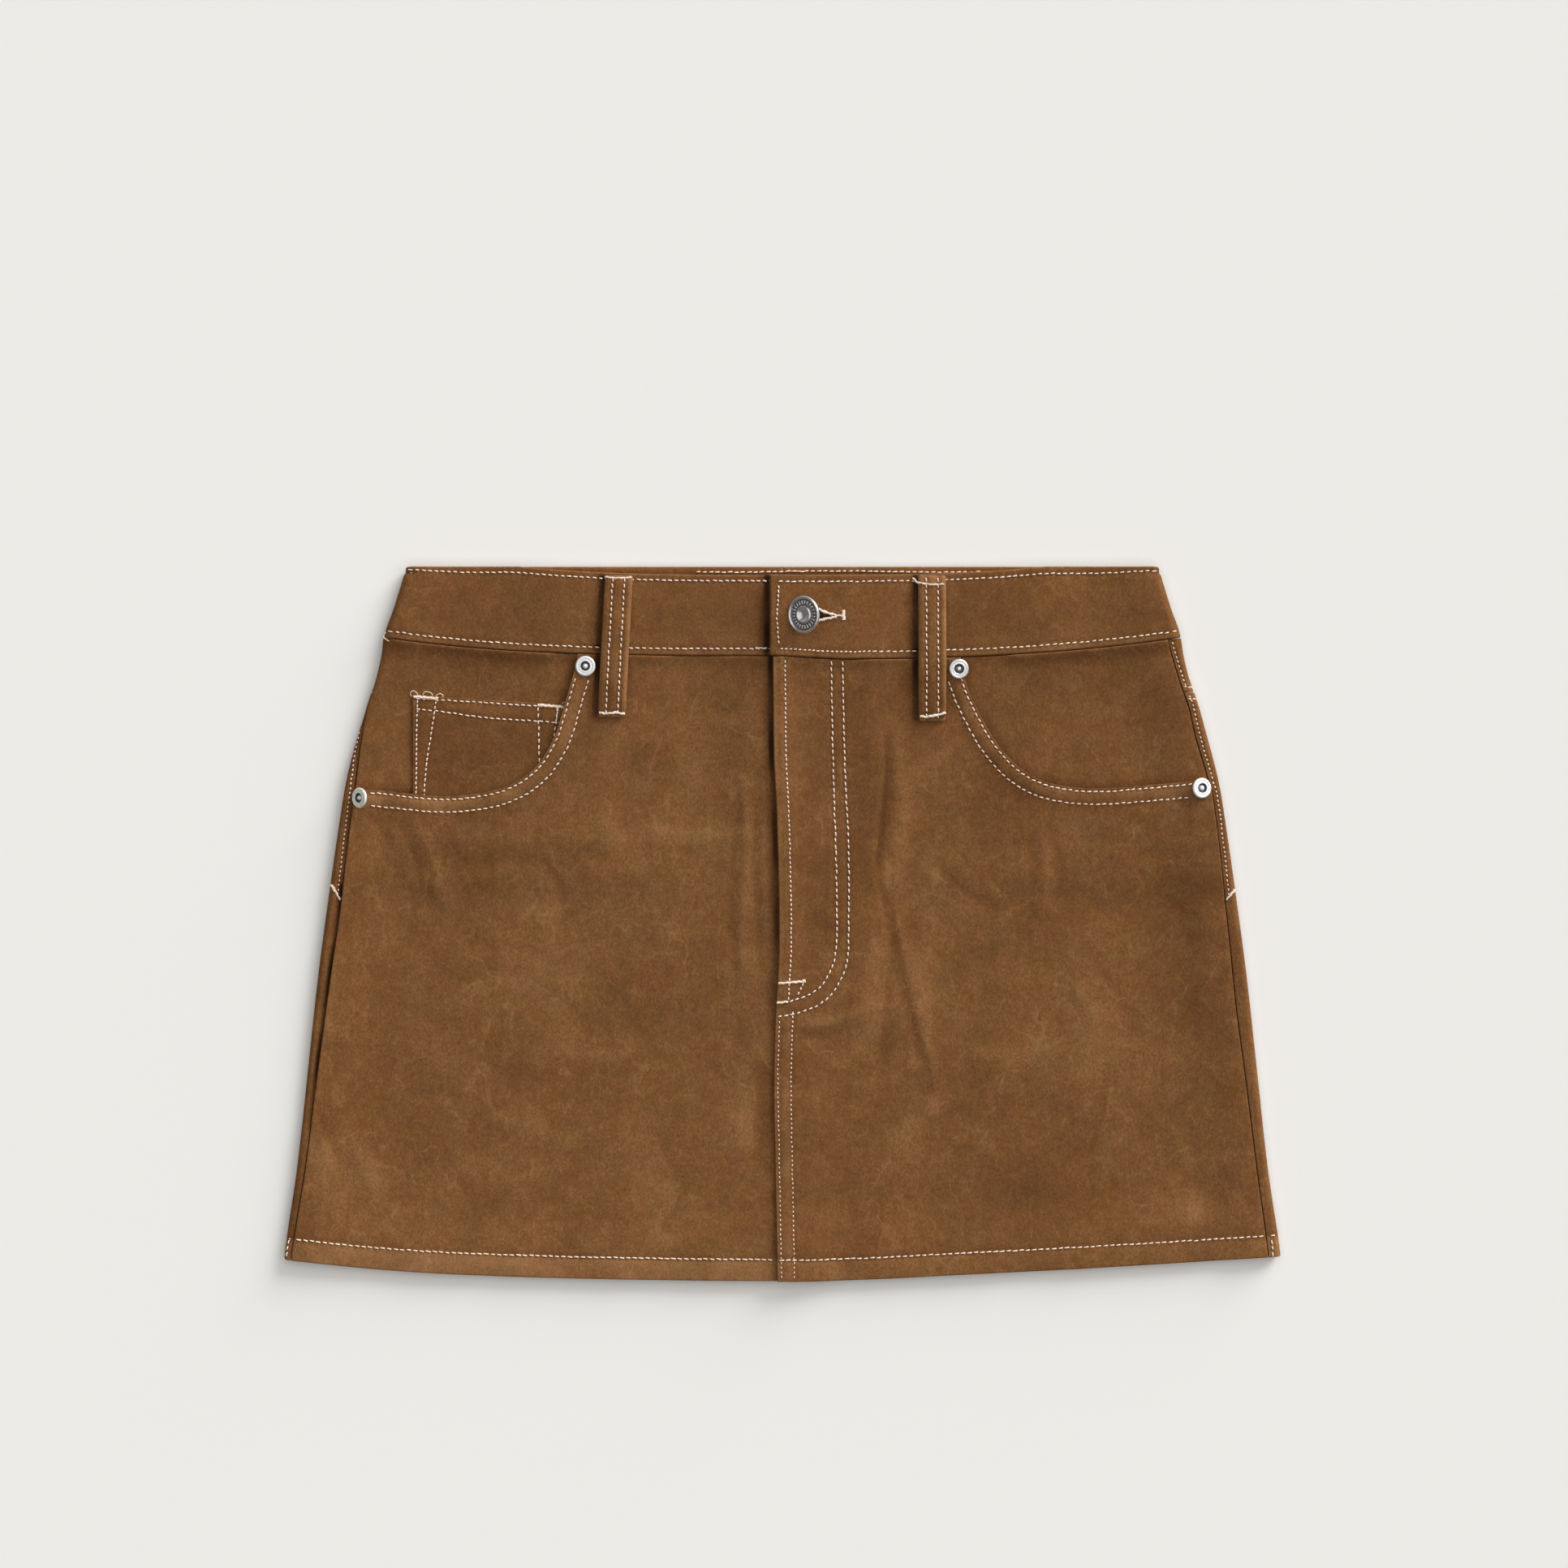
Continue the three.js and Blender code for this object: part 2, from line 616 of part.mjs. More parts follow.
// Belt loop on the front: a strip bowed between its bar tacks
function frontLoop(name, sideName, place) {
  const half = LOOP_WIDTH / 2;
  const panelLift = sideName === 'right' ? rightFrontLift : leftFrontLift;
  const positions = [];
  for (let i = 0; i <= LOOP_STEPS; i += 1) {
    const t = i / LOOP_STEPS;
    const x = lerp(place.topX, place.bottomX, t);
    const y = lerp(place.topY, place.bottomY, t);
    const bandTop = frontMiddle(BAND, x, y) + BAND_PLY / 2;
    const tops = [x - half, x, x + half].map((at) => frontMiddle(CLOTH, at, y) + panelLift(at, y));
    const panelTop = Math.max(...tops) + PLY / 2;
    const seamY = bandBottomY(sideName, x);
    const rest = lerp(bandTop, panelTop, ease((seamY - 1 - y) / LOOP_DROP_RUN));
    const bottom = rest + SEAM_GAP + LOOP_BULGE * Math.sin(Math.PI * t) ** LOOP_BOW;
    for (const z of [bottom, bottom + LOOP_PLY]) {
      for (const sign of [-1, 1]) positions.push(x + sign * half, y, z);
    }
  }
  return solid(name, positions, stripFaces(LOOP_STEPS), SUEDE);
}

// Faces of a strip whose sections are four corners each: low pair, then high pair
function stripFaces(count) {
  const index = [];
  const quad = (a, b, c, d) => index.push(a, b, c, a, c, d);
  for (let i = 0; i < count; i += 1) {
    const a = 4 * i;
    const b = a + 4;
    quad(a, a + 1, b + 1, b);
    quad(a + 2, b + 2, b + 3, a + 3);
    quad(a, b, b + 2, a + 2);
    quad(a + 1, a + 3, b + 3, b + 1);
  }
  quad(0, 2, 3, 1);
  const end = 4 * count;
  quad(end, end + 1, end + 3, end + 2);
  return index;
}

function backLoop(name, x) {
  const geometry = new THREE.BoxGeometry(LOOP_WIDTH, BACK_LOOP_LENGTH, BACK_LOOP_PLY);
  geometry.translate(x, BACK_LOOP_TOP_Y - BACK_LOOP_LENGTH / 2, BACK_LOOP_PLY / 2);
  return named(name, geometry, SUEDE_DARK);
}

// Turned metal: profile rows give radius and height
function turned(rows, segments) {
  const points = rows.map((row) => new THREE.Vector2(row.radius, row.z));
  const geometry = new THREE.LatheGeometry(points, segments);
  geometry.rotateX(Math.PI / 2);
  return geometry;
}

const BUTTON_PROFILE = [
  { radius: 0, z: -14 },
  { radius: BUTTON.shank, z: -14 },
  { radius: BUTTON.shank, z: -2.6 },
  { radius: 6.4, z: -1.9 },
  { radius: 8.7, z: -BUTTON.rim },
  { radius: BUTTON.radius, z: -1.0 },
  { radius: BUTTON.radius, z: -0.35 },
  { radius: 8.8, z: 0 },
  { radius: 8.2, z: -0.1 },
  { radius: 7.9, z: -0.55 },
  { radius: 4.1, z: -0.55 },
  { radius: 3.7, z: 0 },
  { radius: 3.1, z: -0.1 },
  { radius: 2.2, z: -1.1 },
  { radius: 0, z: -1.5 },
];

// Shank button: tipped by the pull of the buttonhole, its shank cut level on the underlap
function waistButton() {
  const tilt = THREE.MathUtils.degToRad(BUTTON.tilt);
  const low = 8.7 * Math.sin(tilt) + BUTTON.rim * Math.cos(tilt);
  const bandTop = frontMiddle(BAND, BUTTON.x, BUTTON.y) + BAND_PLY / 2;
  const centreZ = bandTop + BAND_LAYER + SEAM_GAP + low;
  const geometry = turned(BUTTON_PROFILE, 28);
  geometry.rotateY(-tilt);
  geometry.rotateZ(THREE.MathUtils.degToRad(BUTTON.lean));
  geometry.translate(BUTTON.x, BUTTON.y, centreZ);
  const trim = new THREE.BoxGeometry(TRIM_SIZE, TRIM_SIZE, TRIM_SIZE);
  trim.translate(BUTTON.x, BUTTON.y, bandTop + SEAM_GAP - TRIM_SIZE / 2);
  return named('waist_button', fromManifold(toManifold(geometry).subtract(toManifold(trim))), NICKEL);
}

const RIVET_PROFILE = [
  { radius: 0, z: 0 },
  { radius: RIVET_RADIUS - 0.5, z: 0 },
  { radius: RIVET_RADIUS, z: 0.45 },
  { radius: RIVET_RADIUS - 0.3, z: 0.95 },
  { radius: RIVET_RADIUS - 1.2, z: 1.3 },
  { radius: 2.4, z: 1.5 },
  { radius: 2.0, z: 0.8 },
  { radius: 1.1, z: 0.8 },
  { radius: 0.8, z: 1.3 },
  { radius: 0, z: 1.45 },
];

// Rivets at the pocket corners; tilt is down towards the nearer side
const RIVETS = [
  { name: 'rivet_right_top', side: 'right', x: -96.8, y: 127, tilt: 0 },
  { name: 'rivet_left_top', side: 'left', x: 86.8, y: 125.6, tilt: 0 },
  { name: 'rivet_right_corner', side: 'right', x: -207.6, y: 62.2, tilt: 10 },
  { name: 'rivet_left_corner', side: 'left', x: 206.2, y: 67, tilt: 8 },
];

function rivet(row) {
  const geometry = turned(RIVET_PROFILE, 16);
  const tilt = THREE.MathUtils.degToRad(row.tilt);
  geometry.rotateY(Math.sign(row.x) * tilt);
  const panelLift = row.side === 'right' ? rightFrontLift : leftFrontLift;
  const top = (x) => frontMiddle(CLOTH, x, row.y) + PLY / 2 + panelLift(x, row.y);
  const reach = RIVET_RADIUS * 0.9;
  const seat = Math.max(top(row.x), top(row.x - reach), top(row.x + reach));
  geometry.translate(row.x, row.y, seat + SEAM_GAP + RIVET_RADIUS * Math.sin(tilt));
  return named(row.name, fromManifold(toManifold(geometry)), NICKEL);
}

const group = new THREE.Group();
group.add(
  frontPanel('front_panel_right', 'right', UNDER_EDGE, rightFrontLift),
  frontPanel('front_panel_left', 'left', FLY_EDGE, leftFrontLift),
  pocketFacing('pocket_facing_right', 'right'),
  pocketFacing('pocket_facing_left', 'left'),
  coinPocket(),
  backPanel('back_panel_right', 'right'),
  backPanel('back_panel_left', 'left'),
  backYoke('back_yoke_right', 'right'),
  backYoke('back_yoke_left', 'left'),
  waistband('waistband_right', 'right', UNDERLAP_X, () => 0),
  buttonedWaistband(),
  flyStrip('fly_shield', SHIELD_FROM_X, SHIELD_TO_X, FLY_BOTTOM_Y + 1, 0, SUEDE_DARK),
  flyStrip('fly_zip', ZIP.from, ZIP.to, FLY_BOTTOM_Y + ZIP.bottomMargin, LAYER, ZIP_TAPE),
  frontLoop('belt_loop_front_right', 'right', { topX: -80.4, topY: 171.6, bottomX: -84, bottomY: 101.8 }),
  frontLoop('belt_loop_front_left', 'left', { topX: 73.6, topY: 171.6, bottomX: 73.8, bottomY: 99.8 }),
  backLoop('belt_loop_back_right', -BACK_LOOP_X),
  backLoop('belt_loop_back_centre', 0),
  backLoop('belt_loop_back_left', BACK_LOOP_X),
  waistButton(),
  ...RIVETS.map(rivet),
);

export default group;
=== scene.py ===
# Suede mini skirt lying flat on its back on a pale floor, seen from straight above.
# Sizes are in millimetres until a mesh is made. Right and left are the wearer's: right is at -X.

import math

import bmesh
import bpy
import numpy as np
from mathutils import Matrix, Vector


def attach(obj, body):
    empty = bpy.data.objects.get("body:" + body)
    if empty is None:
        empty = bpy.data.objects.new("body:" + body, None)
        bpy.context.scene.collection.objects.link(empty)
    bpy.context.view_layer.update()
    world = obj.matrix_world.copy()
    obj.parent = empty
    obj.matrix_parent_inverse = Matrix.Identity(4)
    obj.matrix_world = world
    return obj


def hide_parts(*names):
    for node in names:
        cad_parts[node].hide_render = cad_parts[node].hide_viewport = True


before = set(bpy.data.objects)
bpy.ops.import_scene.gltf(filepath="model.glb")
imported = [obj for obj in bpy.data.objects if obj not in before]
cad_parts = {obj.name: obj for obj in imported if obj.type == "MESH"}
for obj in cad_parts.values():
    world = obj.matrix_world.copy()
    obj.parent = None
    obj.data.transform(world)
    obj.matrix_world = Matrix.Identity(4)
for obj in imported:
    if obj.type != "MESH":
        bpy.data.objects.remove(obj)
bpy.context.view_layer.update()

MM = 0.001

# Cloth and how its plies stack
PLY = 1.3
BAND_PLY = 3.0
LOOP_PLY = 2.4
BACK_LOOP_PLY = 1.3
HEM_TURNING_PLY = 1.0
SEAM_GAP = 0.3
CENTRE_BACK_GAP = 0.1
LAYER = PLY + SEAM_GAP
BAND_LAYER = BAND_PLY + SEAM_GAP
CLOTH_FOLD_RADIUS = 2.4
BAND_FOLD_RADIUS = 2.6
FOLD_RUN = 36

# Lengths down the skirt
WAIST_Y = 176.2
FRONT_DIP = 4.2
FRONT_DIP_HALF = 130
HEM_ALLOWANCE = 11.5
WAIST_LIFT = 1.0
WAIST_LIFT_RUN = 30

# Fly
FLY_BOTTOM_Y = -38
FLY_EASE = 24
SHIELD_X = (-8, 34)
ZIP_X = (4, 24)
ZIP_BOTTOM_Y = -32
UNDERLAP_X = 32
OVERLAP_X = -6.2
BAND_BOTTOM = {
    "right": {"centre": 132.2, "side": 141.2, "power": 3.2, "tip": 0},
    "left": {"centre": 130.5, "side": 141.2, "power": 2.7, "tip": 1.7},
}
BAND_SIDE_X = 196
BAND_TIP_RUN = 38

# Pocket facings and coin pocket
FACING_BOTTOM_Y = 36
FACING_INNER = {"right": 75, "left": 60}
FACING_GAP = 0.2
FACING_LENGTH = 100
COIN = {"outer": 182.4, "inner": 98, "top_outer": 112.8, "top_inner": 107.6, "bottom": 50}

# Belt loops
LOOP_WIDTH = 13.8
LOOP_BULGE = 3.0
LOOP_BOW = 0.7
LOOP_DROP_RUN = 14
LOOP_NEEDLE = 2.9
LOOP_ROLL = 2.2
LOOP_CORNER = {"right": (1.2, 2.2), "left": (1.2, 2.4)}
BACK_LOOP_X = 95
BACK_LOOP_TOP_Y = 174
BACK_LOOP_LENGTH = 70

# Back yoke
YOKE_SIDE_Y = 114.6
YOKE_CENTRE_Y = 94
YOKE_RUN = 190

# Where the cloth starts to rise over what lies beneath it, and the run that the rise takes
OVER_BACK_LOOPS = {"half_width": 110, "across_run": 60, "from_y": 50, "up_run": 48}
OVER_HEM = {"margin": 1, "run": 25}
OVER_SHIELD = {"from": -36, "run": 24}
OVER_ZIP = {"from": 35, "run": 30}
OVER_LAP = {"from": 12, "run": 20}
OVER_UNDERLAP = {"from": UNDERLAP_X + 2, "run": 34}
OVER_FACING = {"margin": 28, "run": 20}
OVER_COIN = {"margin": 22, "run": 14, "outer_margin": 6, "outer_run": 12, "top_margin": 10}

# Thread
THREAD_RADIUS = 0.35
STITCH_PITCH = 3.1
SHORT_PITCH = 2.3
NEEDLE_GAUGE = 6.3
EDGE_STITCH = 1.6
FLY_STITCH = 5.9

# Tables: a position and a value, along the outline, the hem and the seams
OUTLINE = [
    (176.2, 185.4), (155.4, 191.8), (143.4, 196.1), (131.4, 198.2), (119.4, 201.2),
    (107.4, 205.4), (95.4, 208.8), (71.4, 215.0), (47.4, 219.0), (11.4, 224.2),
    (-24.6, 229.0), (-72.6, 234.3), (-120.6, 239.6), (-161.4, 245.6), (-170, 245.8),
]
HEM = [
    (-246, -165.6), (-197.6, -170.6), (-149.6, -173.4), (-77.6, -175.4), (6.4, -176.2),
    (42.4, -175.4), (90.4, -173.0), (138.4, -170.6), (186.4, -167.8), (246, -164.0),
]
SIDE_SEAM = {
    "right": [
        (141, 0.2), (117, 0.4), (100.6, 1.4), (89.4, 2.6), (69, 5.0),
        (39.4, 6.0), (-0.6, 6.8), (-73, 5.2), (-114, 4.4), (-168, 3.7),
    ],
    "left": [
        (141, 7.0), (124.2, 5.4), (107.4, 5.2), (92, 6.0), (75, 5.4), (62.2, 4.6),
        (9, 6.0), (-38.6, 7.2), (-73, 6.4), (-121.4, 5.7), (-168, 6.4),
    ],
}
FLY_EDGE = [
    (131, -4.6), (81.4, -4.1), (55.8, -2.8), (-7.8, -1.6),
    (-45.8, -3.3), (-76.6, -4.2), (-114.2, -3.6), (-176, -2.4),
]
UNDER_EDGE = [(132, 3), (-30, 3.4), (-60, 8), (-176, 8)]

# Pocket mouths: distance from the centre and height, from the waist seam to the side
POCKET_MOUTH = {
    "right": [
        (100.8, 133.2), (102.3, 125.5), (107.4, 108), (112.6, 91.5),
        (122.8, 76.2), (139.6, 66.6), (165.6, 63), (195.2, 65.5),
    ],
    "left": [
        (87.8, 131.2), (90, 119.8), (95.6, 106.5), (105.8, 88.8),
        (118.2, 76), (133, 69.2), (155, 66.8), (186, 69),
    ],
}
POCKET_CORNER_Y = {"right": 66.6, "left": 71.2}
CORNER_B = 0.3

SIDE = {"right": -1, "left": 1}


# Smooth values

def ease(t):
    s = np.clip(t, 0, 1)
    return s * s * (3 - 2 * s)


def lerp(a, b, t):
    return a + (b - a) * t


def along(table, at):
    """Smooth curve through a table of (position, value)."""
    rows = np.array(sorted(table), float)
    pos, val = rows[:, 0], rows[:, 1]
    at = np.clip(np.asarray(at, float), pos[0], pos[-1])
    slope = np.empty(len(pos))
    slope[1:-1] = (val[2:] - val[:-2]) / (pos[2:] - pos[:-2])
    slope[0] = (val[1] - val[0]) / (pos[1] - pos[0])
    slope[-1] = (val[-1] - val[-2]) / (pos[-1] - pos[-2])
    i = np.clip(np.searchsorted(pos, at, side="right") - 1, 0, len(pos) - 2)
    step = pos[i + 1] - pos[i]
    t = (at - pos[i]) / step
    t2, t3 = t * t, t * t * t
    start = val[i] * (2 * t3 - 3 * t2 + 1) + slope[i] * step * (t3 - 2 * t2 + t)
    end = val[i + 1] * (3 * t2 - 2 * t3) + slope[i + 1] * step * (t3 - t2)
    return start + end


def spline(points, count=400):
    """Dense points, evenly spaced, on a Catmull-Rom curve through the given ones."""
    p = np.array(points, float)
    p = np.vstack([2 * p[0] - p[1], p, 2 * p[-1] - p[-2]])
    parts = []
    for k in range(1, len(p) - 2):
        t = np.linspace(0, 1, 40, endpoint=False)[:, None]
        a, b, c, d = p[k - 1], p[k], p[k + 1], p[k + 2]
        parts.append(0.5 * (2 * b + (c - a) * t + (2 * a - 5 * b + 4 * c - d) * t**2
                            + (3 * b - 3 * c + d - a) * t**3))
    parts.append(p[-2:-1])
    return resample(np.vstack(parts), count)


def resample(line, count):
    step = np.linalg.norm(np.diff(line, axis=0), axis=1)
    s = np.concatenate([[0], np.cumsum(step)])
    want = np.linspace(0, s[-1], count)
    return np.stack([np.interp(want, s, line[:, k]) for k in range(line.shape[1])], axis=1)


def pairs(outs, ys):
    """Rows of (out, y)."""
    return np.stack([outs, ys], axis=1)


def length_of(line):
    return float(np.linalg.norm(np.diff(line, axis=0), axis=1).sum())


def offset(line, distance):
    """The line moved sideways, to the left of its direction where distance is positive."""
    d = np.gradient(line, axis=0)
    d /= np.linalg.norm(d, axis=1)[:, None]
    return line + distance * np.stack([-d[:, 1], d[:, 0]], axis=1)


def waves(x, y, seed, size, count=14):
    """Soft uneven field between about -1 and 1, with features of about the given size."""
    rng = np.random.default_rng(seed)
    total = np.zeros(np.broadcast(x, y).shape)
    for _ in range(count):
        angle = rng.uniform(0, math.pi)
        k = 2 * math.pi / (size * rng.uniform(0.7, 1.7))
        total += np.cos(k * (math.cos(angle) * x + math.sin(angle) * y) + rng.uniform(0, 6.283))
    return total / math.sqrt(count / 2) / 1.6


# Form of the skirt, as cut and laid

def half_width(y):
    return along(OUTLINE, y)


def hem_y(x):
    return along(HEM, x)


def band_bottom_y(side_name, x):
    row = BAND_BOTTOM[side_name]
    tip = row["tip"] * (1 - ease((x - OVERLAP_X) / BAND_TIP_RUN))
    rise = (row["side"] - row["centre"]) * (np.abs(x) / BAND_SIDE_X) ** row["power"]
    return row["centre"] + tip + rise


def front_waist_y(x):
    return WAIST_Y - FRONT_DIP * (1 - np.clip(np.abs(x) / FRONT_DIP_HALF, 0, 1) ** 3)


def raised(x, y):
    over = OVER_BACK_LOOPS
    across = 1 - ease((np.abs(x) - over["half_width"]) / over["across_run"])
    return (BACK_LOOP_PLY + SEAM_GAP) * across * ease((y - over["from_y"]) / over["up_run"])


class Cloth:
    """A weight of cloth: its thickness and the radius at which it folds."""

    def __init__(self, ply, fold):
        self.ply = ply
        self.fold = fold

    def centre(self, y):
        return half_width(y) - self.fold - self.ply / 2

    def behind(self, y):
        return self.centre(y) + math.pi * self.fold

    def centre_back(self, y):
        return self.behind(y) + self.centre(y)


SKIN = Cloth(PLY, CLOTH_FOLD_RADIUS)
BAND = Cloth(BAND_PLY, BAND_FOLD_RADIUS)


def near_hem(x, y):
    return 1 - ease((y - hem_y(x) - HEM_ALLOWANCE - OVER_HEM["margin"]) / OVER_HEM["run"])


def front_middle(cloth, x, y):
    inside = ease((cloth.centre(y) - np.abs(x)) / FOLD_RUN)
    fold_top = cloth.ply / 2 + 2 * cloth.fold
    lying = cloth.ply * 1.5 + SEAM_GAP
    if cloth is SKIN:
        lying = lying + WAIST_LIFT * (1 - ease((band_bottom_y("right", x) - y) / WAIST_LIFT_RUN))
        lying = lying + 2 * HEM_TURNING_PLY * near_hem(x, y)
    return raised(x, y) + lerp(fold_top, lying, inside)


def on_cloth(cloth, side, out, y, lift):
    """Point of the cloth; out runs from the centre front over the side fold to the centre back."""
    out, y, lift = np.broadcast_arrays(np.asarray(out, float), y, lift)
    centre = cloth.centre(y)
    turn = (out - centre) / cloth.fold
    radius = cloth.fold + lift
    flat_x = side * out
    turn_x = side * (centre + radius * np.sin(turn))
    back_x = side * (centre - (out - cloth.behind(y)))
    x = np.where(turn <= 0, flat_x, np.where(turn < math.pi, turn_x, back_x))
    flat_z = front_middle(cloth, flat_x, y) + lift
    turn_z = cloth.ply / 2 + cloth.fold + radius * np.cos(turn)
    back_z = raised(back_x, y) + cloth.ply / 2 - lift
    z = np.where(turn <= 0, flat_z, np.where(turn < math.pi, turn_z, back_z))
    return np.stack([x, y, z], axis=-1)


def seam_at(side_name, y):
    inset = along(SIDE_SEAM[side_name], y)
    outer = SKIN.fold + SKIN.ply / 2
    on_turn = SKIN.centre(y) + SKIN.fold * np.arcsin(np.clip(1 - inset / outer, -1, 1))
    return np.where(inset >= outer, half_width(y) - inset, on_turn)


# What each layer lies on

def fly_on(y):
    return ease((y - FLY_BOTTOM_Y + FLY_EASE) / FLY_EASE)


def facing_under(side_name, x, y):
    margin, run = OVER_FACING["margin"], OVER_FACING["run"]
    across = ease((np.abs(x) - FACING_INNER[side_name] + margin) / run)
    return LAYER * across * ease((y - FACING_BOTTOM_Y + margin) / run)


def coin_under(x, y):
    margin, run = OVER_COIN["margin"], OVER_COIN["run"]
    inner = ease((-x - COIN["inner"] + margin) / run)
    outer = 1 - ease((-x - COIN["outer"] - OVER_COIN["outer_margin"]) / OVER_COIN["outer_run"])
    low = ease((y - COIN["bottom"] + margin) / run)
    high = 1 - ease((y - COIN["top_inner"] - OVER_COIN["top_margin"]) / run)
    return LAYER * inner * outer * low * high


def right_front_lift(x, y):
    on_shield = LAYER * ease((x - OVER_SHIELD["from"]) / OVER_SHIELD["run"]) * fly_on(y)
    return on_shield + facing_under("right", x, y) + coin_under(x, y)


def left_front_lift(x, y):
    on_hem = HEM_TURNING_PLY * near_hem(x, y)
    lap = (LAYER + on_hem) * (1 - ease((x - OVER_LAP["from"]) / OVER_LAP["run"]))
    fly = 2 * LAYER * (1 - ease((x - OVER_ZIP["from"]) / OVER_ZIP["run"]))
    return lerp(lap, fly, fly_on(y)) + facing_under("left", x, y)


def overlap_lift(x, y):
    return BAND_LAYER * (1 - ease((x - OVER_UNDERLAP["from"]) / OVER_UNDERLAP["run"]))


def no_lift(x, y):
    return 0 * x


# Creases: half width, height of a soft ridge (a trough below zero) and its line
CREASES = [
    (1.8, -0.8, [(48, 110), (51.4, 84), (49, 50), (47.4, 26), (51, 6), (55, -6)]),
    (3.0, 0.45, [(56, 104), (57.6, 68), (55.6, 36), (59, 4)]),
    (2.2, -0.42, [(48, 28), (51, 6), (58, -26), (66, -60), (74, -88)]),
    (2.4, 0.5, [(54, 24), (58, -4), (65, -34), (75, -76), (79, -92)]),
    (2.0, -0.45, [(56, 4), (52, -26), (49, -62), (52, -84)]),
    (3.6, 0.35, [(45, 2), (42, -30), (41, -66)]),
    (3.4, 0.5, [(98, 94), (78, 84), (64, 70), (60, 50), (60, 24)]),
    (2.0, -0.25, [(72, 36), (86, 19), (112, 2)]),
    (3.4, 0.28, [(68, 30), (82, 10), (108, -8)]),
    (1.9, -0.35, [(121, 52), (123, 26), (121, -6)]),
    (2.6, 0.35, [(127, 50), (130, 22), (127, 0)]),
    (2.0, -0.3, [(134, 40), (136, 20), (134, 8)]),
    (2.6, 0.4, [(6, -51), (26, -48), (46, -40)]),
    (2.0, -0.26, [(4, -57), (26, -54), (48, -48)]),
    (2.6, -0.2, [(78, -92), (98, -78), (120, -76)]),
    (4.0, 0.22, [(84, -60), (112, -66), (142, -64)]),
    (3.4, -0.2, [(196, 12), (203, -24), (202, -62)]),
    (3.4, 0.4, [(204, -128), (198, -112), (190, -98)]),
    (2.2, -0.38, [(-191, 56), (-182, 34), (-176, 14), (-170, -4)]),
    (3.0, 0.4, [(-184, 58), (-172, 30), (-163, 0)]),
    (3.4, -0.15, [(-162, -2), (-150, -10), (-136, -14)]),
    (1.7, -0.3, [(-25, 96), (-23, 52), (-26, 4), (-22, -44)]),
    (2.0, 0.34, [(-20, 90), (-18, 40), (-20, -10), (-16, -52)]),
    (1.5, -0.28, [(-13, 70), (-14, 22), (-11, -36)]),
    (1.8, 0.3, [(-8, 84), (-9, 30), (-7, -20)]),
    (3.6, 0.34, [(-24, -62), (-20, -92), (-21, -122)]),
    (3.0, -0.45, [(-13, -60), (-11, -94), (-12, -130)]),
    (3.0, 0.3, [(-80, 48), (-48, 44), (-12, 43)]),
    (2.4, -0.16, [(-72, 39), (-44, 35), (-20, 36)]),
    (4.4, 0.15, [(-124, -64), (-92, -64), (-58, -70)]),
    (3.4, -0.1, [(-118, -76), (-90, -74), (-62, -80)]),
    (2.8, -0.32, [(-230, -86), (-224, -104), (-216, -124)]),
    (4.0, 0.5, [(-214, -100), (-206, -122), (-197, -142)]),
    (5.0, 0.35, [(-152, -96), (-126, -100), (-98, -112)]),
    (4.4, -0.3, [(-64, -98), (-54, -120), (-44, -142)]),
    (2.6, -0.35, [(132, 128), (122, 118), (112, 106)]),
    (3.6, 0.35, [(148, 124), (140, 112), (130, 100)]),
    (3.0, -0.3, [(150, -20), (166, -36), (174, -60)]),
    (4.0, 0.3, [(140, -28), (154, -48), (160, -74)]),
    (3.6, 0.3, [(-130, 36), (-118, 14), (-116, -14)]),
    (3.0, -0.28, [(-122, 38), (-110, 16), (-106, -10)]),
    (4.0, 0.35, [(-62, 166), (-59, 154), (-56, 142)]),
    (4.0, 0.35, [(120, 168), (124, 157), (128, 146)]),
    (5.0, 0.35, [(-150, 168), (-149, 157), (-146, 146)]),
]
BACK_CREASES = [
    (4.0, -0.75, [(-64, 70), (-58, 30), (-66, -14)]),
    (5.0, 0.6, [(-52, 66), (-48, 26), (-54, -20)]),
    (4.0, -0.6, [(84, 52), (96, 14), (92, -40)]),
    (5.4, 0.5, [(98, 58), (110, 10), (104, -44)]),
    (5.0, -0.5, [(30, -40), (44, -74), (40, -112)]),
    (5.0, 0.45, [(-150, -30), (-128, -62), (-132, -104)]),
    (4.0, -0.5, [(-176, 20), (-160, -12), (-164, -44)]),
    (6.0, 0.4, [(160, -60), (140, -88), (146, -128)]),
]
BACK_CREASE_RISE = 0.45
FLOAT = 0.35

# Uneven swell of the fronts: height, seed and size of its features
SWELLS = [(0.2, 3, 46), (0.09, 5, 15)]

# A crease: its width on either side, how that changes along it, and the share over which it fades
CREASE_SIDES = (0.9, 1.7)
CREASE_SWAY = {"share": 0.3, "wave": 11}
CREASE_FADE = 0.28

# Where the relief of the fronts ends before the side fold, and that of the back begins after it
RELIEF_END = 14
RELIEF_RUN = 12

# How much crease ridges lighten the nap and crease troughs darken it as painted shade, front and back, and
# how much the listed patches lighten or darken it
CREASE_TONE = 0.55
PATCH_TONE = 0.8
BACK_CREASE_TONE = 0.6

# Sewing that presses into the cloth: width and tone of the groove, and the puckers beside it
GROOVE_WIDTH = 0.9
GROOVE_TONE = -0.3
GROOVE_REACH = 8
PUCKER = {"share": 0.27, "wave": 0.98, "sway": 2.2, "sway_wave": 9.0, "reach": 2.4}
SWELL_REACH = 2.6
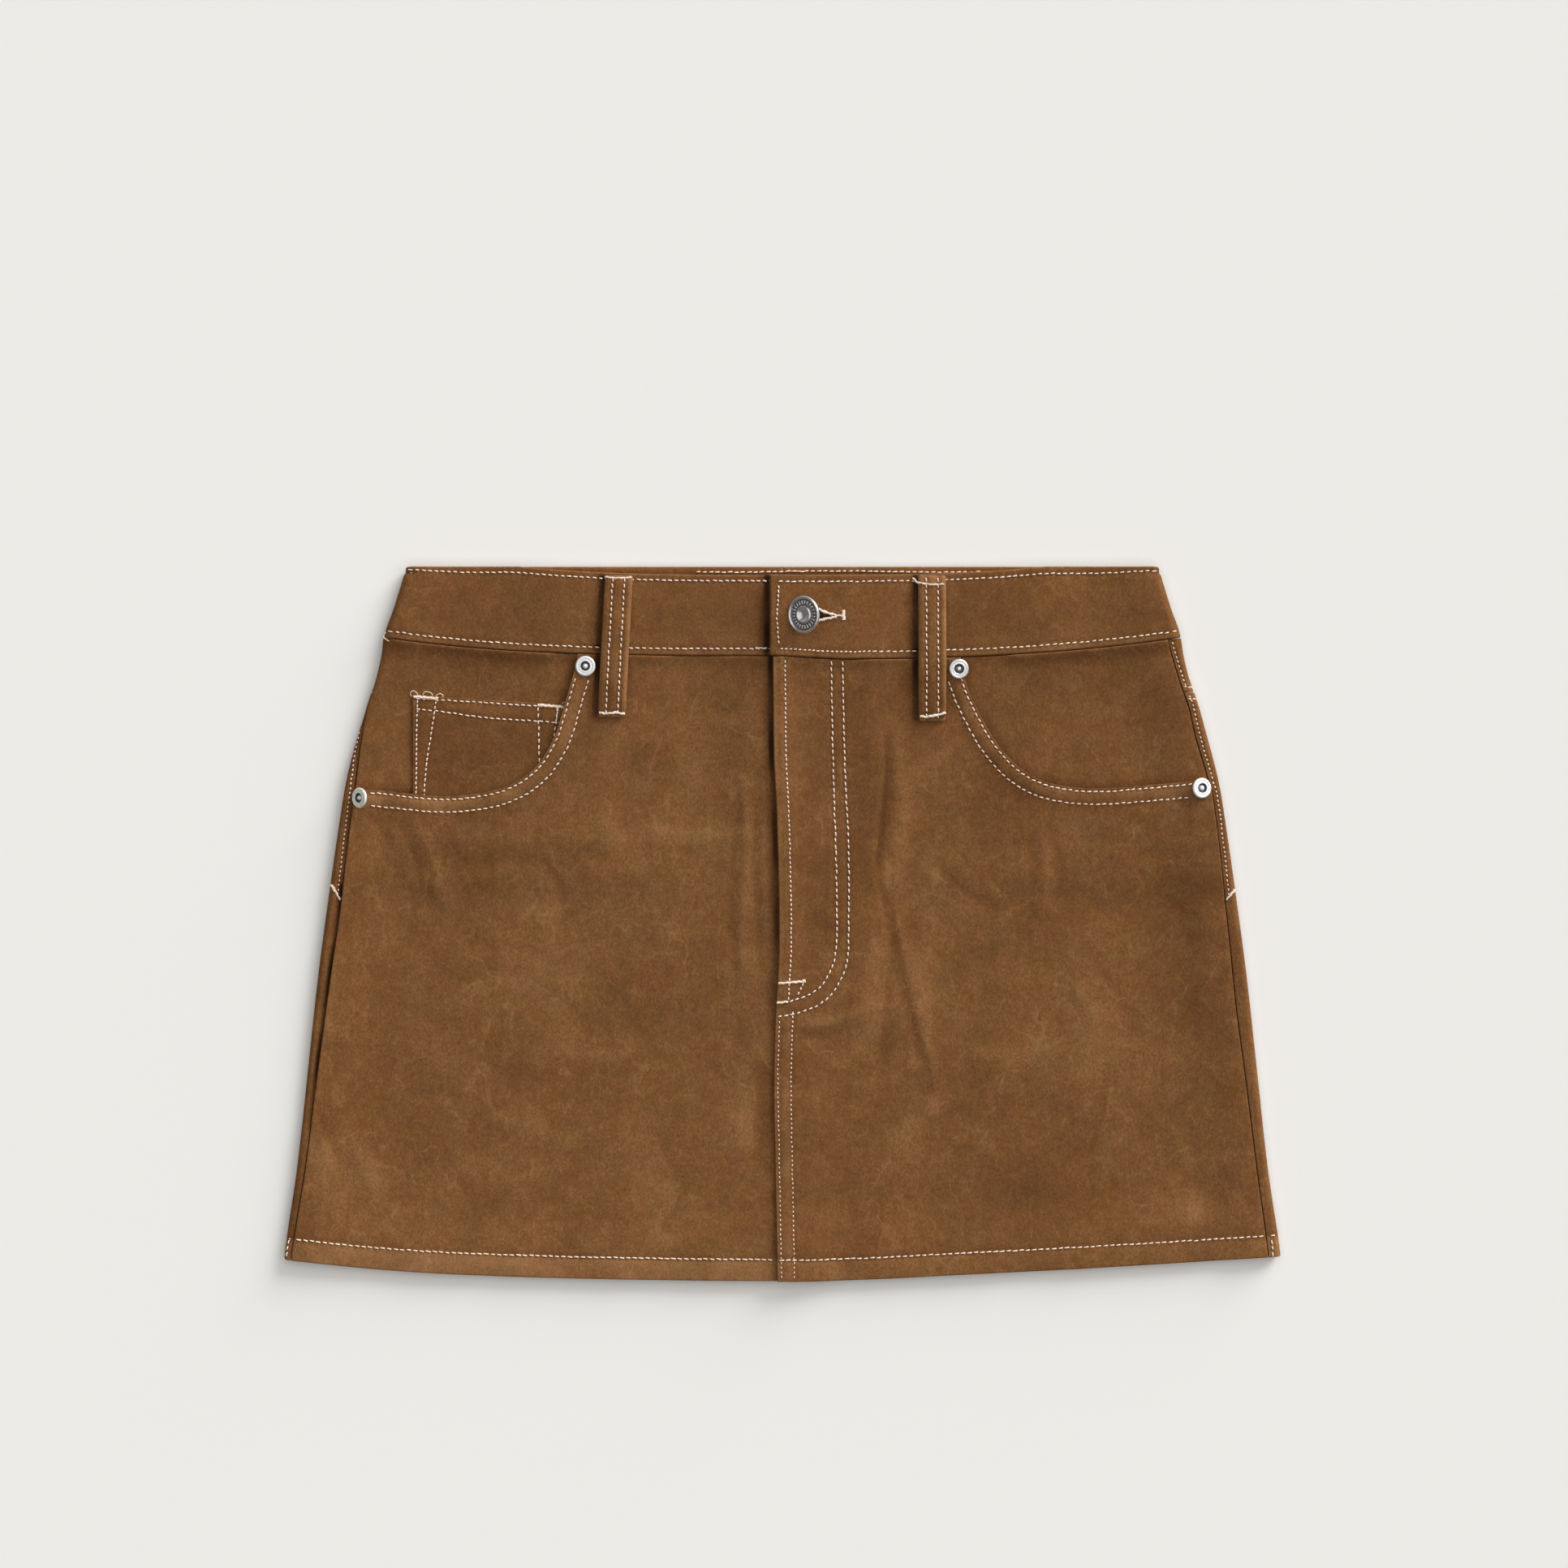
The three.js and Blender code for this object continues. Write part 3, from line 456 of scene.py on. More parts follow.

# Patches where the nap is made lighter, or darker below zero: x, y, half width and length, amount
TONE_PATCHES = [
    (202, -141, 7, 9, 0.6), (166, -109, 9, 6, 0.35), (-90, -65, 8, 6, 0.4), (-226, -122, 7, 16, 0.45),
    (-21, -96, 9, 24, 0.4), (75, -88, 4, 6, 0.6), (51, 24, 3, 8, 0.9), (146, 7, 34, 9, -0.3),
    (150, -54, 40, 26, 0.3), (-60, -120, 34, 22, 0.25), (74, -20, 9, 40, 0.3), (42, 60, 7, 40, -0.25),
    (96, 60, 26, 12, -0.15), (-140, 20, 30, 16, -0.2), (-40, 80, 16, 30, 0.2), (196, -20, 12, 40, -0.12),
    (110, -130, 40, 16, -0.3), (-150, -140, 34, 14, -0.2), (-110, -20, 26, 18, 0.2), (24, -120, 14, 30, -0.2),
    (22, -48, 18, 5, 0.45), (-196, -60, 16, 30, -0.2), (60, -110, 16, 20, 0.3), (-46, 44, 34, 5, 0.3),
    (130, 112, 26, 10, -0.25), (-150, 122, 24, 8, 0.2), (-16, 20, 8, 60, 0.15), (186, 60, 14, 8, 0.25),
]


def signed_distance(line, points):
    """Distance of each point to a line, below zero on its right, and how far along it is."""
    best, run, sign = np.full(len(points), 1e9), np.zeros(len(points)), np.ones(len(points))
    start = 0.0
    for a, b in zip(line[:-1], line[1:]):
        step = b - a
        length = float(np.linalg.norm(step))
        off = points - a
        t = np.clip(off @ step / length**2, 0, 1)
        d = np.linalg.norm(off - t[:, None] * step, axis=1)
        closer = d < best
        best[closer] = d[closer]
        run[closer] = (start + t * length)[closer]
        sign[closer] = np.sign(step[0] * off[:, 1] - step[1] * off[:, 0])[closer]
        start += length
    return best * sign, run, start


def crease_field(table, x, y):
    """Height of the listed creases: each is steep on one side and gentle on the other."""
    x, y = np.broadcast_arrays(np.asarray(x, float), np.asarray(y, float))
    points = pairs(x.ravel(), y.ravel())
    total = np.zeros(len(points))
    for half, height, corners in table:
        line = spline(corners, 24)
        low, high = line.min(axis=0) - 5 * half, line.max(axis=0) + 5 * half
        close = np.all((points > low) & (points < high), axis=1)
        if close.any():
            d, run, length = signed_distance(line, points[close])
            sway = 1 + CREASE_SWAY["share"] * np.sin(run / CREASE_SWAY["wave"] + half)
            width = half * np.where(d > 0, CREASE_SIDES[1], CREASE_SIDES[0]) * sway
            fade = ease(run / (CREASE_FADE * length)) * ease((length - run) / (CREASE_FADE * length))
            total[close] += height * fade * np.exp(-((d / width) ** 2))
    return total.reshape(x.shape)


def creases(x, y):
    """Height of the listed creases and of a slight uneven swell."""
    total = FLOAT
    for height, seed, size in SWELLS:
        total = total + height * waves(x, y, seed, size)
    return total + crease_field(CREASES, x, y)


def tone_patches(x, y):
    total = np.zeros(np.broadcast(x, y).shape)
    for x0, y0, half_x, half_y, amount in TONE_PATCHES:
        total = total + amount * np.exp(-((x - x0) / half_x) ** 2 - ((y - y0) / half_y) ** 2)
    return total


class Piece:
    """A cut piece: how it lies, and the lines of sewing that press into it."""

    def __init__(self, name, cloth, side_name, lift, relief=1.0, tone=0.0):
        self.name = name
        self.cloth = cloth
        self.side_name = side_name
        self.side = SIDE[side_name]
        self.lift = lift
        self.relief = relief
        self.tone = tone
        self.grooves = []
        self.swells = []
        self.strips = []

    def groove(self, line, depth=0.35):
        """A line of sewing that presses into the outer face."""
        self.grooves.append((thin(line, 2.5), depth))

    def swell(self, line, rise, reach):
        """A soft rise of the whole ply along a line, or a valley where rise is below zero."""
        self.swells.append((thin(line, 4), rise, reach))

    def strip(self, line, half, amount, taper=0.0):
        """A strip along a line whose nap is rubbed lighter, or a painted shadow, darker below zero; it may
        fade out.
        """
        self.strips.append((thin(line, 4), half, amount, taper))

    def height(self, out, y):
        """Rise of the ply over its plain form."""
        x = self.side * out
        on_front = 1 - ease((out - self.cloth.centre(y) + RELIEF_END) / RELIEF_RUN)
        total = self.lift(x, y) + self.relief * creases(x, y) * on_front
        if self.relief == 0:
            hidden = crease_field(BACK_CREASES, *self.behind_at(out, y))
            total = total - BACK_CREASE_RISE * np.maximum(0, hidden)
        for line, rise, reach in self.swells:
            add_along(total, line, out, y, SWELL_REACH * reach,
                      lambda d, run, rise=rise, reach=reach: rise * np.exp(-((d / reach) ** 2)))
        return total

    def behind_at(self, out, y):
        """Place on the back, seen as x and y; far off for what is on the front."""
        x = self.side * (self.cloth.centre(y) - (out - self.cloth.behind(y)))
        return np.where(out > self.cloth.behind(y) + RELIEF_RUN, x, 1e4), y

    def dip(self, out, y):
        """How far sewing presses or puckers the outer face."""
        total = np.zeros(np.shape(out))
        for line, depth in self.grooves:
            def press(d, run, depth=depth):
                sway = PUCKER["sway"] * np.sin(run / PUCKER["sway_wave"])
                pucker = np.sin(run / PUCKER["wave"] + sway) * np.exp(-d / PUCKER["reach"])
                return -depth * np.exp(-((d / GROOVE_WIDTH) ** 2)) - PUCKER["share"] * depth * pucker
            add_along(total, line, out, y, GROOVE_REACH, press)
        return total

    def shade(self, out, y):
        """Tone of the nap: lighter above zero where it is rubbed; darker below zero, where the strips and
        crease troughs are painted shade.
        """
        x = self.side * out
        # Crease ridges lighten the nap and crease troughs darken it as painted shade; the listed patches
        # lighten or darken it.
        wear_and_shade = self.relief * (CREASE_TONE * crease_field(CREASES, x, y) + PATCH_TONE * tone_patches(x, y))
        total = self.tone + wear_and_shade * (out < self.cloth.centre(y) - 2)
        # Painted light and shade of the back's creases: lighter on their ridges, darker in their troughs.
        if self.relief == 0:
            total = total + BACK_CREASE_TONE * crease_field(BACK_CREASES, *self.behind_at(out, y))
        # Strips: lighter where the nap is rubbed, darker where a shadow is painted.
        for line, half, amount, taper in self.strips:
            whole = length_of(line)

            def wear_and_shade(d, run, half=half, amount=amount, whole=whole, taper=taper):
                fade = ease((whole - run) / taper) if taper else 1
                soft = 1 - ease((d - half + 0.9) / 1.8)
                return amount * soft * fade * (0.75 + 0.25 * np.sin(run / 7 + half))
            add_along(total, line, out, y, half + 2, wear_and_shade)
        for line, _ in self.grooves:
            add_along(total, line, out, y, 3,
                      lambda d, run: GROOVE_TONE * np.exp(-((d / GROOVE_WIDTH) ** 2)))
        return total

    def at(self, out, y, above):
        """Points a given height above the piece's outer face."""
        out, y = np.broadcast_arrays(np.asarray(out, float), np.asarray(y, float))
        lift = self.height(out, y) + self.dip(out, y) + self.cloth.ply / 2 + above
        return on_cloth(self.cloth, self.side, out, y, lift)


def thin(line, spacing):
    line = np.asarray(line, float)
    return resample(line, max(2, int(length_of(line) / spacing)))


def add_along(total, line, out, y, reach, value):
    """Add a value of the distance to a line, at the points within reach of it."""
    low, high = line.min(axis=0) - reach, line.max(axis=0) + reach
    close = (out > low[0]) & (out < high[0]) & (y > low[1]) & (y < high[1])
    if close.any():
        distance, run = distance_to(line, np.stack([out[close], y[close]], axis=1))
        total[close] += value(distance, run) * (distance < reach)


def distance_to(line, points):
    """Distance of each point to a polyline, and how far along the nearest place is."""
    a, b = line[:-1], line[1:]
    step = b - a
    size = np.maximum((step**2).sum(axis=1), 1e-9)
    s = np.concatenate([[0], np.cumsum(np.sqrt(size))])
    best = np.full(len(points), 1e9)
    run = np.zeros(len(points))
    for k in range(len(a)):
        t = np.clip(((points - a[k]) @ step[k]) / size[k], 0, 1)
        d = np.linalg.norm(points - a[k] - t[:, None] * step[k], axis=1)
        closer = d < best
        best[closer] = d[closer]
        run[closer] = s[k] + t[closer] * math.sqrt(size[k])
    return best, run


# Meshes

RIM = np.array([0, 0.06, 0.2, 0.42, 0.65])
RIM_RADIUS = 0.65
BAND_RIM = 1.6
CENTRE_BACK_RIM = 0.3
SIDE_RIM = 0.5


def stations(length, spacing, marks=(), rim_size=1.0):
    """Places from 0 to 1 with rounded rims, and the share of the thickness at each."""
    count = max(2, int(round(length / spacing)))
    inner = np.linspace(0, 1, count + 1)[1:-1]
    marks = np.array(marks, float)
    if len(marks):
        inner = inner[np.min(np.abs(inner[:, None] - marks[None]), axis=1) > 0.3 * spacing / length]
    rim = RIM * rim_size / length
    inner = inner[(inner > rim[-1] * 1.5) & (inner < 1 - rim[-1] * 1.5)]
    t = np.sort(np.concatenate([rim, inner, marks, 1 - rim]))
    edge = np.minimum(t, 1 - t) * length / (RIM_RADIUS * rim_size)
    return t, np.sqrt(np.clip(1 - (1 - np.clip(edge, 0, 1)) ** 2, 0, 1))


def patch(top, bottom, inner, outer, a, b):
    """Grid of (out, y) between four edges given as arrays of points."""
    a, b = a[None, :, None], b[:, None, None]
    top, bottom, inner, outer = top[None], bottom[None], inner[:, None], outer[:, None]
    corners = ((1 - a) * (1 - b) * top[:, :1] + a * (1 - b) * top[:, -1:]
               + (1 - a) * b * bottom[:, :1] + a * b * bottom[:, -1:])
    return (1 - b) * top + b * bottom + (1 - a) * inner + a * outer - corners


def make_wall(piece, grid, thick, extra=None, wear=None):
    """Closed wall of a piece from its grid of (out, y) and the share of thickness at each."""
    out, y = grid[..., 0], grid[..., 1]
    half = piece.cloth.ply / 2
    rows, cols = out.shape
    lift = piece.height(out, y)
    upper = on_cloth(piece.cloth, piece.side, out, y, lift + (piece.dip(out, y) + half) * thick)
    depth = half * thick + (0 if extra is None else extra * thick)
    lower = on_cloth(piece.cloth, piece.side, out, y, lift - depth)
    index = np.arange(rows * cols).reshape(rows, cols)
    rim = np.zeros((rows, cols), bool)
    rim[0], rim[-1], rim[:, 0], rim[:, -1] = True, True, True, True
    under = np.where(rim, index, index + rows * cols)

    def quads(corners, flip):
        faces = np.stack([corners[:-1, :-1], corners[1:, :-1], corners[1:, 1:], corners[:-1, 1:]], axis=-1)
        faces = faces.reshape(-1, 4)
        return faces[:, ::-1] if flip else faces

    faces = np.vstack([quads(index, piece.side < 0), quads(under, piece.side > 0)])
    points = np.vstack([upper.reshape(-1, 3), lower.reshape(-1, 3)])
    middle = (upper + lower).reshape(-1, 3) / 2
    points[:rows * cols][rim.ravel()] = middle[rim.ravel()]
    tone = piece.shade(out, y) + (0 if wear is None else wear) + 0.3 * (1 - np.clip(thick, 0, 1))
    tones = np.concatenate([np.ravel(tone), np.ravel(tone)])
    obj = make_mesh(piece.name, points, faces, np.clip(tones, -1, 1.5))
    return obj


def add_object(name, data):
    obj = bpy.data.objects.new(name, data)
    bpy.context.scene.collection.objects.link(obj)
    return obj


def make_mesh(name, points, faces, tones=None):
    """Object from points in millimetres; points that no face uses are dropped."""
    faces = np.asarray(faces)
    used, faces = np.unique(faces, return_inverse=True)
    faces = faces.reshape(-1, 4) if faces.ndim == 1 else faces
    mesh = bpy.data.meshes.new(name)
    mesh.from_pydata((points[used] * MM).tolist(), [], faces.tolist())
    if tones is not None:
        layer = mesh.attributes.new("tone", "FLOAT", "POINT")
        layer.data.foreach_set("value", np.asarray(tones, np.float32)[used])
    mesh.polygons.foreach_set("use_smooth", np.ones(len(mesh.polygons), bool))
    mesh.validate()
    mesh.update()
    return add_object(name, mesh)


def face_out(obj):
    """Turn a closed mesh's faces outwards."""
    work = bmesh.new()
    work.from_mesh(obj.data)
    bmesh.ops.recalc_face_normals(work, faces=work.faces)
    work.to_mesh(obj.data)
    work.free()


# Materials

def new_material(name):
    material = bpy.data.materials.new(name)
    material.use_nodes = True
    tree = material.node_tree
    tree.nodes.clear()
    output = tree.nodes.new("ShaderNodeOutputMaterial")
    shader = tree.nodes.new("ShaderNodeBsdfPrincipled")
    tree.links.new(shader.outputs[0], output.inputs[0])
    return material, tree, shader


def add_noise(tree, vector, size, stretch=(1, 1, 1), shift=(0, 0, 0), detail=3.0, rough=0.55, swirl=0.0):
    """Noise with features of about size millimetres; stretch lengthens them along an axis."""
    mapping = tree.nodes.new("ShaderNodeMapping")
    mapping.inputs["Location"].default_value = shift
    mapping.inputs["Scale"].default_value = [1 / (size * MM * s) for s in stretch]
    tree.links.new(vector, mapping.inputs["Vector"])
    noise = tree.nodes.new("ShaderNodeTexNoise")
    noise.inputs["Scale"].default_value = 1.0
    noise.inputs["Detail"].default_value = detail
    noise.inputs["Roughness"].default_value = rough
    noise.inputs["Distortion"].default_value = swirl
    tree.links.new(mapping.outputs[0], noise.inputs["Vector"])
    return noise.outputs["Fac"]


def add_math(tree, operation, a, b):
    node = tree.nodes.new("ShaderNodeMath")
    node.operation = operation
    for socket, value in zip(node.inputs, (a, b)):
        if isinstance(value, (int, float)):
            socket.default_value = value
        else:
            tree.links.new(value, socket)
    return node.outputs[0]


def add_weighted(tree, parts, base):
    """Sum of centred noises, each times its weight, on top of a base value."""
    total = base
    for value, weight in parts:
        centred = add_math(tree, "SUBTRACT", value, 0.5)
        total = add_math(tree, "ADD", add_math(tree, "MULTIPLY", centred, weight), total)
    return total


def add_ramp(tree, value, stops):
    ramp = tree.nodes.new("ShaderNodeValToRGB")
    ramp.color_ramp.interpolation = "B_SPLINE"
    elements = ramp.color_ramp.elements
    while len(elements) < len(stops):
        elements.new(0.5)
    for element, (place, colour) in zip(elements, stops):
        element.position = place
        element.color = (*colour, 1)
    tree.links.new(value, ramp.inputs[0])
    return ramp.outputs[0]


def linear(red, green, blue):
    """Linear colour from eight-bit sRGB values."""
    def one(v):
        v /= 255
        return v / 12.92 if v <= 0.04045 else ((v + 0.055) / 1.055) ** 2.4
    return one(red), one(green), one(blue)


def add_mix(tree, factor, a, b, mode="MIX"):
    mix = tree.nodes.new("ShaderNodeMix")
    mix.data_type = "RGBA"
    mix.blend_type = mode
    for socket, value in ((mix.inputs[0], factor), (mix.inputs[6], a), (mix.inputs[7], b)):
        if isinstance(value, (int, float)):
            socket.default_value = value
        elif isinstance(value, tuple):
            socket.default_value = (*value, 1)
        else:
            tree.links.new(value, socket)
    return mix.outputs[2]


def add_clamp(tree, value, high):
    return add_math(tree, "MINIMUM", add_math(tree, "MAXIMUM", value, 0.0), high)


def add_bump(tree, shader, height, strength, depth):
    """Relief of a height value, depth in millimetres."""
    bump = tree.nodes.new("ShaderNodeBump")
    bump.inputs["Strength"].default_value = strength
    bump.inputs["Distance"].default_value = depth * MM
    tree.links.new(height, bump.inputs["Height"])
    tree.links.new(bump.outputs[0], shader.inputs["Normal"])


def suede(name, shift, darker=0.0):
    """Brushed suede: blotches, nap lying this way and that, fine fibre and faint wrinkle lines, with painted
    shade mixed in from the tone attribute.
    """
    material, tree, shader = new_material(name)
    where = tree.nodes.new("ShaderNodeTexCoord").outputs["Object"]
    moved = tree.nodes.new("ShaderNodeVectorMath")
    moved.inputs[1].default_value = shift
    tree.links.new(where, moved.inputs[0])
    place = moved.outputs[0]
    clouds = add_noise(tree, place, 52, (1, 1.1, 1), detail=3, rough=0.55, swirl=0.5)
    patches = add_noise(tree, place, 17, (1.1, 1, 1), (3, 1, 0), detail=5, rough=0.6, swirl=0.9)
    streaks = add_noise(tree, place, 4, (1, 3.2, 1), (7, 2, 0), detail=4, rough=0.6, swirl=0.6)
    mottle = add_noise(tree, place, 3.2, (1, 1.2, 1), (1, 9, 0), detail=4, rough=0.7)
    fibre = add_noise(tree, place, 0.9, (1, 1.5, 1), (5, 5, 0), detail=3, rough=0.75)
    redder = add_noise(tree, place, 14, (1, 1.2, 1), (11, 4, 0), detail=6, rough=0.66, swirl=0.6)
    bluer = add_noise(tree, place, 11, (1.2, 1, 1), (17, 8, 0), detail=6, rough=0.72, swirl=0.6)
    ridge = add_noise(tree, place, 26, (1, 1.3, 1), (23, 3, 0), detail=3, rough=0.5)
    wrinkle = add_math(tree, "ABSOLUTE", add_math(tree, "SUBTRACT", ridge, 0.5), 0)
    wrinkle = add_math(tree, "SUBTRACT", 1.0, add_math(tree, "MULTIPLY", wrinkle, 50.0))
    wrinkle = add_math(tree, "MAXIMUM", wrinkle, 0.0)
    here = add_noise(tree, place, 26, (1, 1, 1), (31, 6, 0), detail=2)
    here = add_clamp(tree, add_math(tree, "MULTIPLY", add_math(tree, "SUBTRACT", here, 0.42), 6.0), 1.0)
    wrinkle = add_math(tree, "MULTIPLY", wrinkle, here)
    # The tone attribute carries nap wear, which lightens, and painted shade, which darkens.
    wear = tree.nodes.new("ShaderNodeAttribute")
    wear.attribute_name = "tone"
    light = add_weighted(
        tree,
        [(clouds, 0.27), (patches, 0.29), (streaks, 0.16), (mottle, 0.25), (fibre, 0.66)],
        0.5 - darker,
    )
    light = add_math(tree, "ADD", light, add_math(tree, "MULTIPLY", wear.outputs["Fac"], 0.32))
    light = add_math(tree, "ADD", light, add_math(tree, "MULTIPLY", wrinkle, 0.1))
    # The ramp's darkest stop is reached where the tone carries painted shade.
    brown = add_ramp(tree, light, [
        (0.0, linear(58, 32, 16)), (0.35, linear(103, 66, 36)),
        (0.6, linear(121, 81, 46)), (1.0, linear(170, 128, 88)),
    ])
    reds = add_ramp(tree, redder, [(0.3, (0.89, 1.06, 1.0)), (0.7, (1.11, 0.935, 1.0))])
    blues = add_ramp(tree, bluer, [(0.3, (0.98, 0.965, 1.3)), (0.7, (1.02, 1.03, 0.72))])
    colour = add_mix(tree, 1.0, add_mix(tree, 1.0, brown, reds, "MULTIPLY"), blues, "MULTIPLY")
    # Painted shade: strongly negative tone mixes the colour toward a near-black brown.
    painted_shade = add_math(tree, "MULTIPLY", wear.outputs["Fac"], -1.3)
    painted_shade = add_clamp(tree, add_math(tree, "SUBTRACT", painted_shade, 0.4), 0.85)
    colour = add_mix(tree, painted_shade, colour, linear(26, 14, 8))
    tree.links.new(colour, shader.inputs["Base Color"])
    shader.inputs["Roughness"].default_value = 0.95
    shader.inputs["Specular IOR Level"].default_value = 0.1
    shader.inputs["Sheen Weight"].default_value = 0.12
    shader.inputs["Sheen Roughness"].default_value = 0.5
    shader.inputs["Sheen Tint"].default_value = (*linear(206, 158, 112), 1)
    nap = add_weighted(tree, [(fibre, 0.35), (mottle, 0.6), (streaks, 0.4), (patches, 1.0)], 0.5)
    nap = add_math(tree, "SUBTRACT", nap, add_math(tree, "MULTIPLY", wrinkle, 0.16))
    add_bump(tree, shader, nap, 0.45, 0.5)
    return material


def thread_material():
    material, tree, shader = new_material("cream_thread")
    where = tree.nodes.new("ShaderNodeTexCoord").outputs["Object"]
    tint = add_noise(tree, where, 14, detail=2)
    twist = add_noise(tree, where, 0.5, (1, 1, 1), (2, 3, 0), detail=2)
    value = add_weighted(tree, [(tint, 0.7), (twist, 0.6)], 0.5)
    colour = add_ramp(tree, value, [
        (0.2, linear(206, 172, 146)), (0.5, linear(238, 215, 194)), (0.8, linear(250, 238, 224)),
    ])
    tree.links.new(colour, shader.inputs["Base Color"])
    shader.inputs["Roughness"].default_value = 0.6
    shader.inputs["Sheen Weight"].default_value = 0.3
    add_bump(tree, shader, twist, 0.6, 0.15)
    return material


def plain_material(name, colour, roughness, metallic=0.0, wear_size=1.0, swing=0.2, bump_depth=0.0):
    """Material whose colour and roughness vary a little over fine noise."""
    material, tree, shader = new_material(name)
    where = tree.nodes.new("ShaderNodeTexCoord").outputs["Object"]
    fine = add_noise(tree, where, wear_size, detail=4, rough=0.65)
    dark = tuple(c * (1 - swing) for c in colour)
    pale = tuple(min(1, c * (1 + swing)) for c in colour)
    tree.links.new(add_ramp(tree, fine, [(0.25, dark), (0.75, pale)]), shader.inputs["Base Color"])
    rough = add_weighted(tree, [(fine, 0.3)], roughness)
    tree.links.new(rough, shader.inputs["Roughness"])
    shader.inputs["Metallic"].default_value = metallic
    if bump_depth:
        add_bump(tree, shader, fine, 0.5, bump_depth)
    return material


SUEDES = {
    "front_right": suede("suede_front_right", (0.0, 0.0, 0.0)),
    "front_left": suede("suede_front_left", (0.61, 0.13, 0.0), 0.02),
    "band": suede("suede_band", (1.3, 0.4, 0.0), 0.03),
    "facing": suede("suede_facing", (2.1, 0.9, 0.0), 0.05),
    "back": suede("suede_back", (3.2, 1.7, 0.0), 0.02),
    "loops": suede("suede_loops", (4.4, 2.3, 0.0), 0.05),
}
THREAD = thread_material()
NICKEL = plain_material("nickel", linear(212, 211, 210), 0.34, 0.8, 0.8, 0.16, 0.06)
# Lighter copies of the nickel that paint a highlight onto some rivets: one near white, one warmer.
NICKEL_PAINTED_HIGHLIGHT = plain_material("nickel_painted_highlight", linear(252, 252, 251), 0.42, 0.25, 0.8, 0.3, 0.02)
NICKEL_WARM_PAINTED_HIGHLIGHT = plain_material("nickel_warm_painted_highlight", linear(232, 228, 216), 0.42, 0.35, 0.8, 0.3, 0.02)
# Dark copy of the nickel: painted shade in the rivets' recess.
NICKEL_PAINTED_SHADE = plain_material("nickel_painted_shade", linear(66, 64, 66), 0.5, 0.7, 0.6, 0.3, 0.06)
NICKEL_DARK = plain_material("nickel_recess", linear(132, 130, 130), 0.45, 0.75, 0.6, 0.3, 0.06)
TAPE = plain_material("zip_tape", linear(84, 60, 40), 0.85, 0.0, 0.6, 0.2, 0.1)


def finish(obj, material, replaced=None):
    """Material, body and the solids that the piece stands for."""
    obj.data.materials.append(material)
    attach(obj, "root")
    if replaced:
        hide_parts(*([replaced] if isinstance(replaced, str) else replaced))
    return obj


# Cloth pieces

PIECES = {
    "front_right": Piece("front_right", SKIN, "right", right_front_lift),
    "front_left": Piece("front_left", SKIN, "left", left_front_lift),
    "facing_right": Piece("facing_right", SKIN, "right", no_lift, 0.3, 0.02),
    "facing_left": Piece("facing_left", SKIN, "left", no_lift, 0.3, 0.1),
    "coin": Piece("coin", SKIN, "right", lambda x, y: LAYER + 0 * x, 0.3, -0.12),
    "back_right": Piece("back_right", SKIN, "right", no_lift, 0),
    "back_left": Piece("back_left", SKIN, "left", no_lift, 0),
    "yoke_right": Piece("yoke_right", SKIN, "right", no_lift, 0),
    "yoke_left": Piece("yoke_left", SKIN, "left", no_lift, 0),
    "band_right": Piece("band_right", BAND, "right", no_lift, 0.5),
    "band_left": Piece("band_left", BAND, "left", overlap_lift, 0.5),
}


def panel_edges(side_name, inner_table):
    """Top, bottom, inner and outer edges of a front panel as functions of 0 to 1 arrays."""
    side = SIDE[side_name]
    corner_y = POCKET_CORNER_Y[side_name]

    def seam_point(y):
        return np.stack([seam_at(side_name, y) - SEAM_GAP / 2, y], axis=-1)

    corner = seam_point(np.array(corner_y))
    mouth = spline(POCKET_MOUTH[side_name] + [tuple(corner)])

    def inner_out(y):
        return side * along(inner_table, y)

    def top_y(out):
        return band_bottom_y(side_name, side * out) - SEAM_GAP

    start = float(inner_out(top_y(0.0)))
    end = POCKET_MOUTH[side_name][0][0]

    def top(a):
        out = lerp(start, end, a)
        return np.stack([out, top_y(out)], axis=-1)

    hem_out = float(hem_y(side * float(seam_at(side_name, -165.0))))
    bottom_start = float(inner_out(float(hem_y(side * start))))
    bottom_end = float(seam_point(np.array(hem_out))[0])

    def bottom(a):
        out = lerp(bottom_start, bottom_end, a)
        return np.stack([out, hem_y(side * out)], axis=-1)

    top0, top1 = top(np.array([0.0, 1.0]))
    bottom0, bottom1 = bottom(np.array([0.0, 1.0]))

    def inner(b):
        y = lerp(top0[1], bottom0[1], b)
        return np.stack([inner_out(y), y], axis=-1)

    def outer(b):
        s = np.clip(b / CORNER_B, 0, 1) * (len(mouth) - 1)
        i = np.clip(s.astype(int), 0, len(mouth) - 2)
        on_mouth = mouth[i] + (s - i)[:, None] * (mouth[i + 1] - mouth[i])
        y = lerp(corner_y, bottom1[1], np.clip((b - CORNER_B) / (1 - CORNER_B), 0, 1))
        points = np.where((b <= CORNER_B)[:, None], on_mouth, seam_point(y))
        points[b == 0] = top1
        return points

    return top, bottom, inner, outer, mouth


PANEL_SPACING = 1.5
PANEL_WIDTH = 235
BACK_SPACING = 2.0
HEM_STEP = 0.003
HEM_WEAR = {"right": 0.5, "left": 0.22, "back": 0.6}
HEM_WEAR_TO = 9
HEM_WEAR_RUN = 3


def hem_wear(place, x, y):
    """The nap is rubbed lighter below the hem stitch."""
    return HEM_WEAR[place] * (1 - ease((y - hem_y(x) - HEM_WEAR_TO) / HEM_WEAR_RUN))


def hem_turning(b, hem_b, cols):
    """Thickness that the turned hem adds to a panel's grid."""
    return np.where(b >= hem_b, HEM_TURNING_PLY, 0.0)[:, None] * np.ones((1, cols))


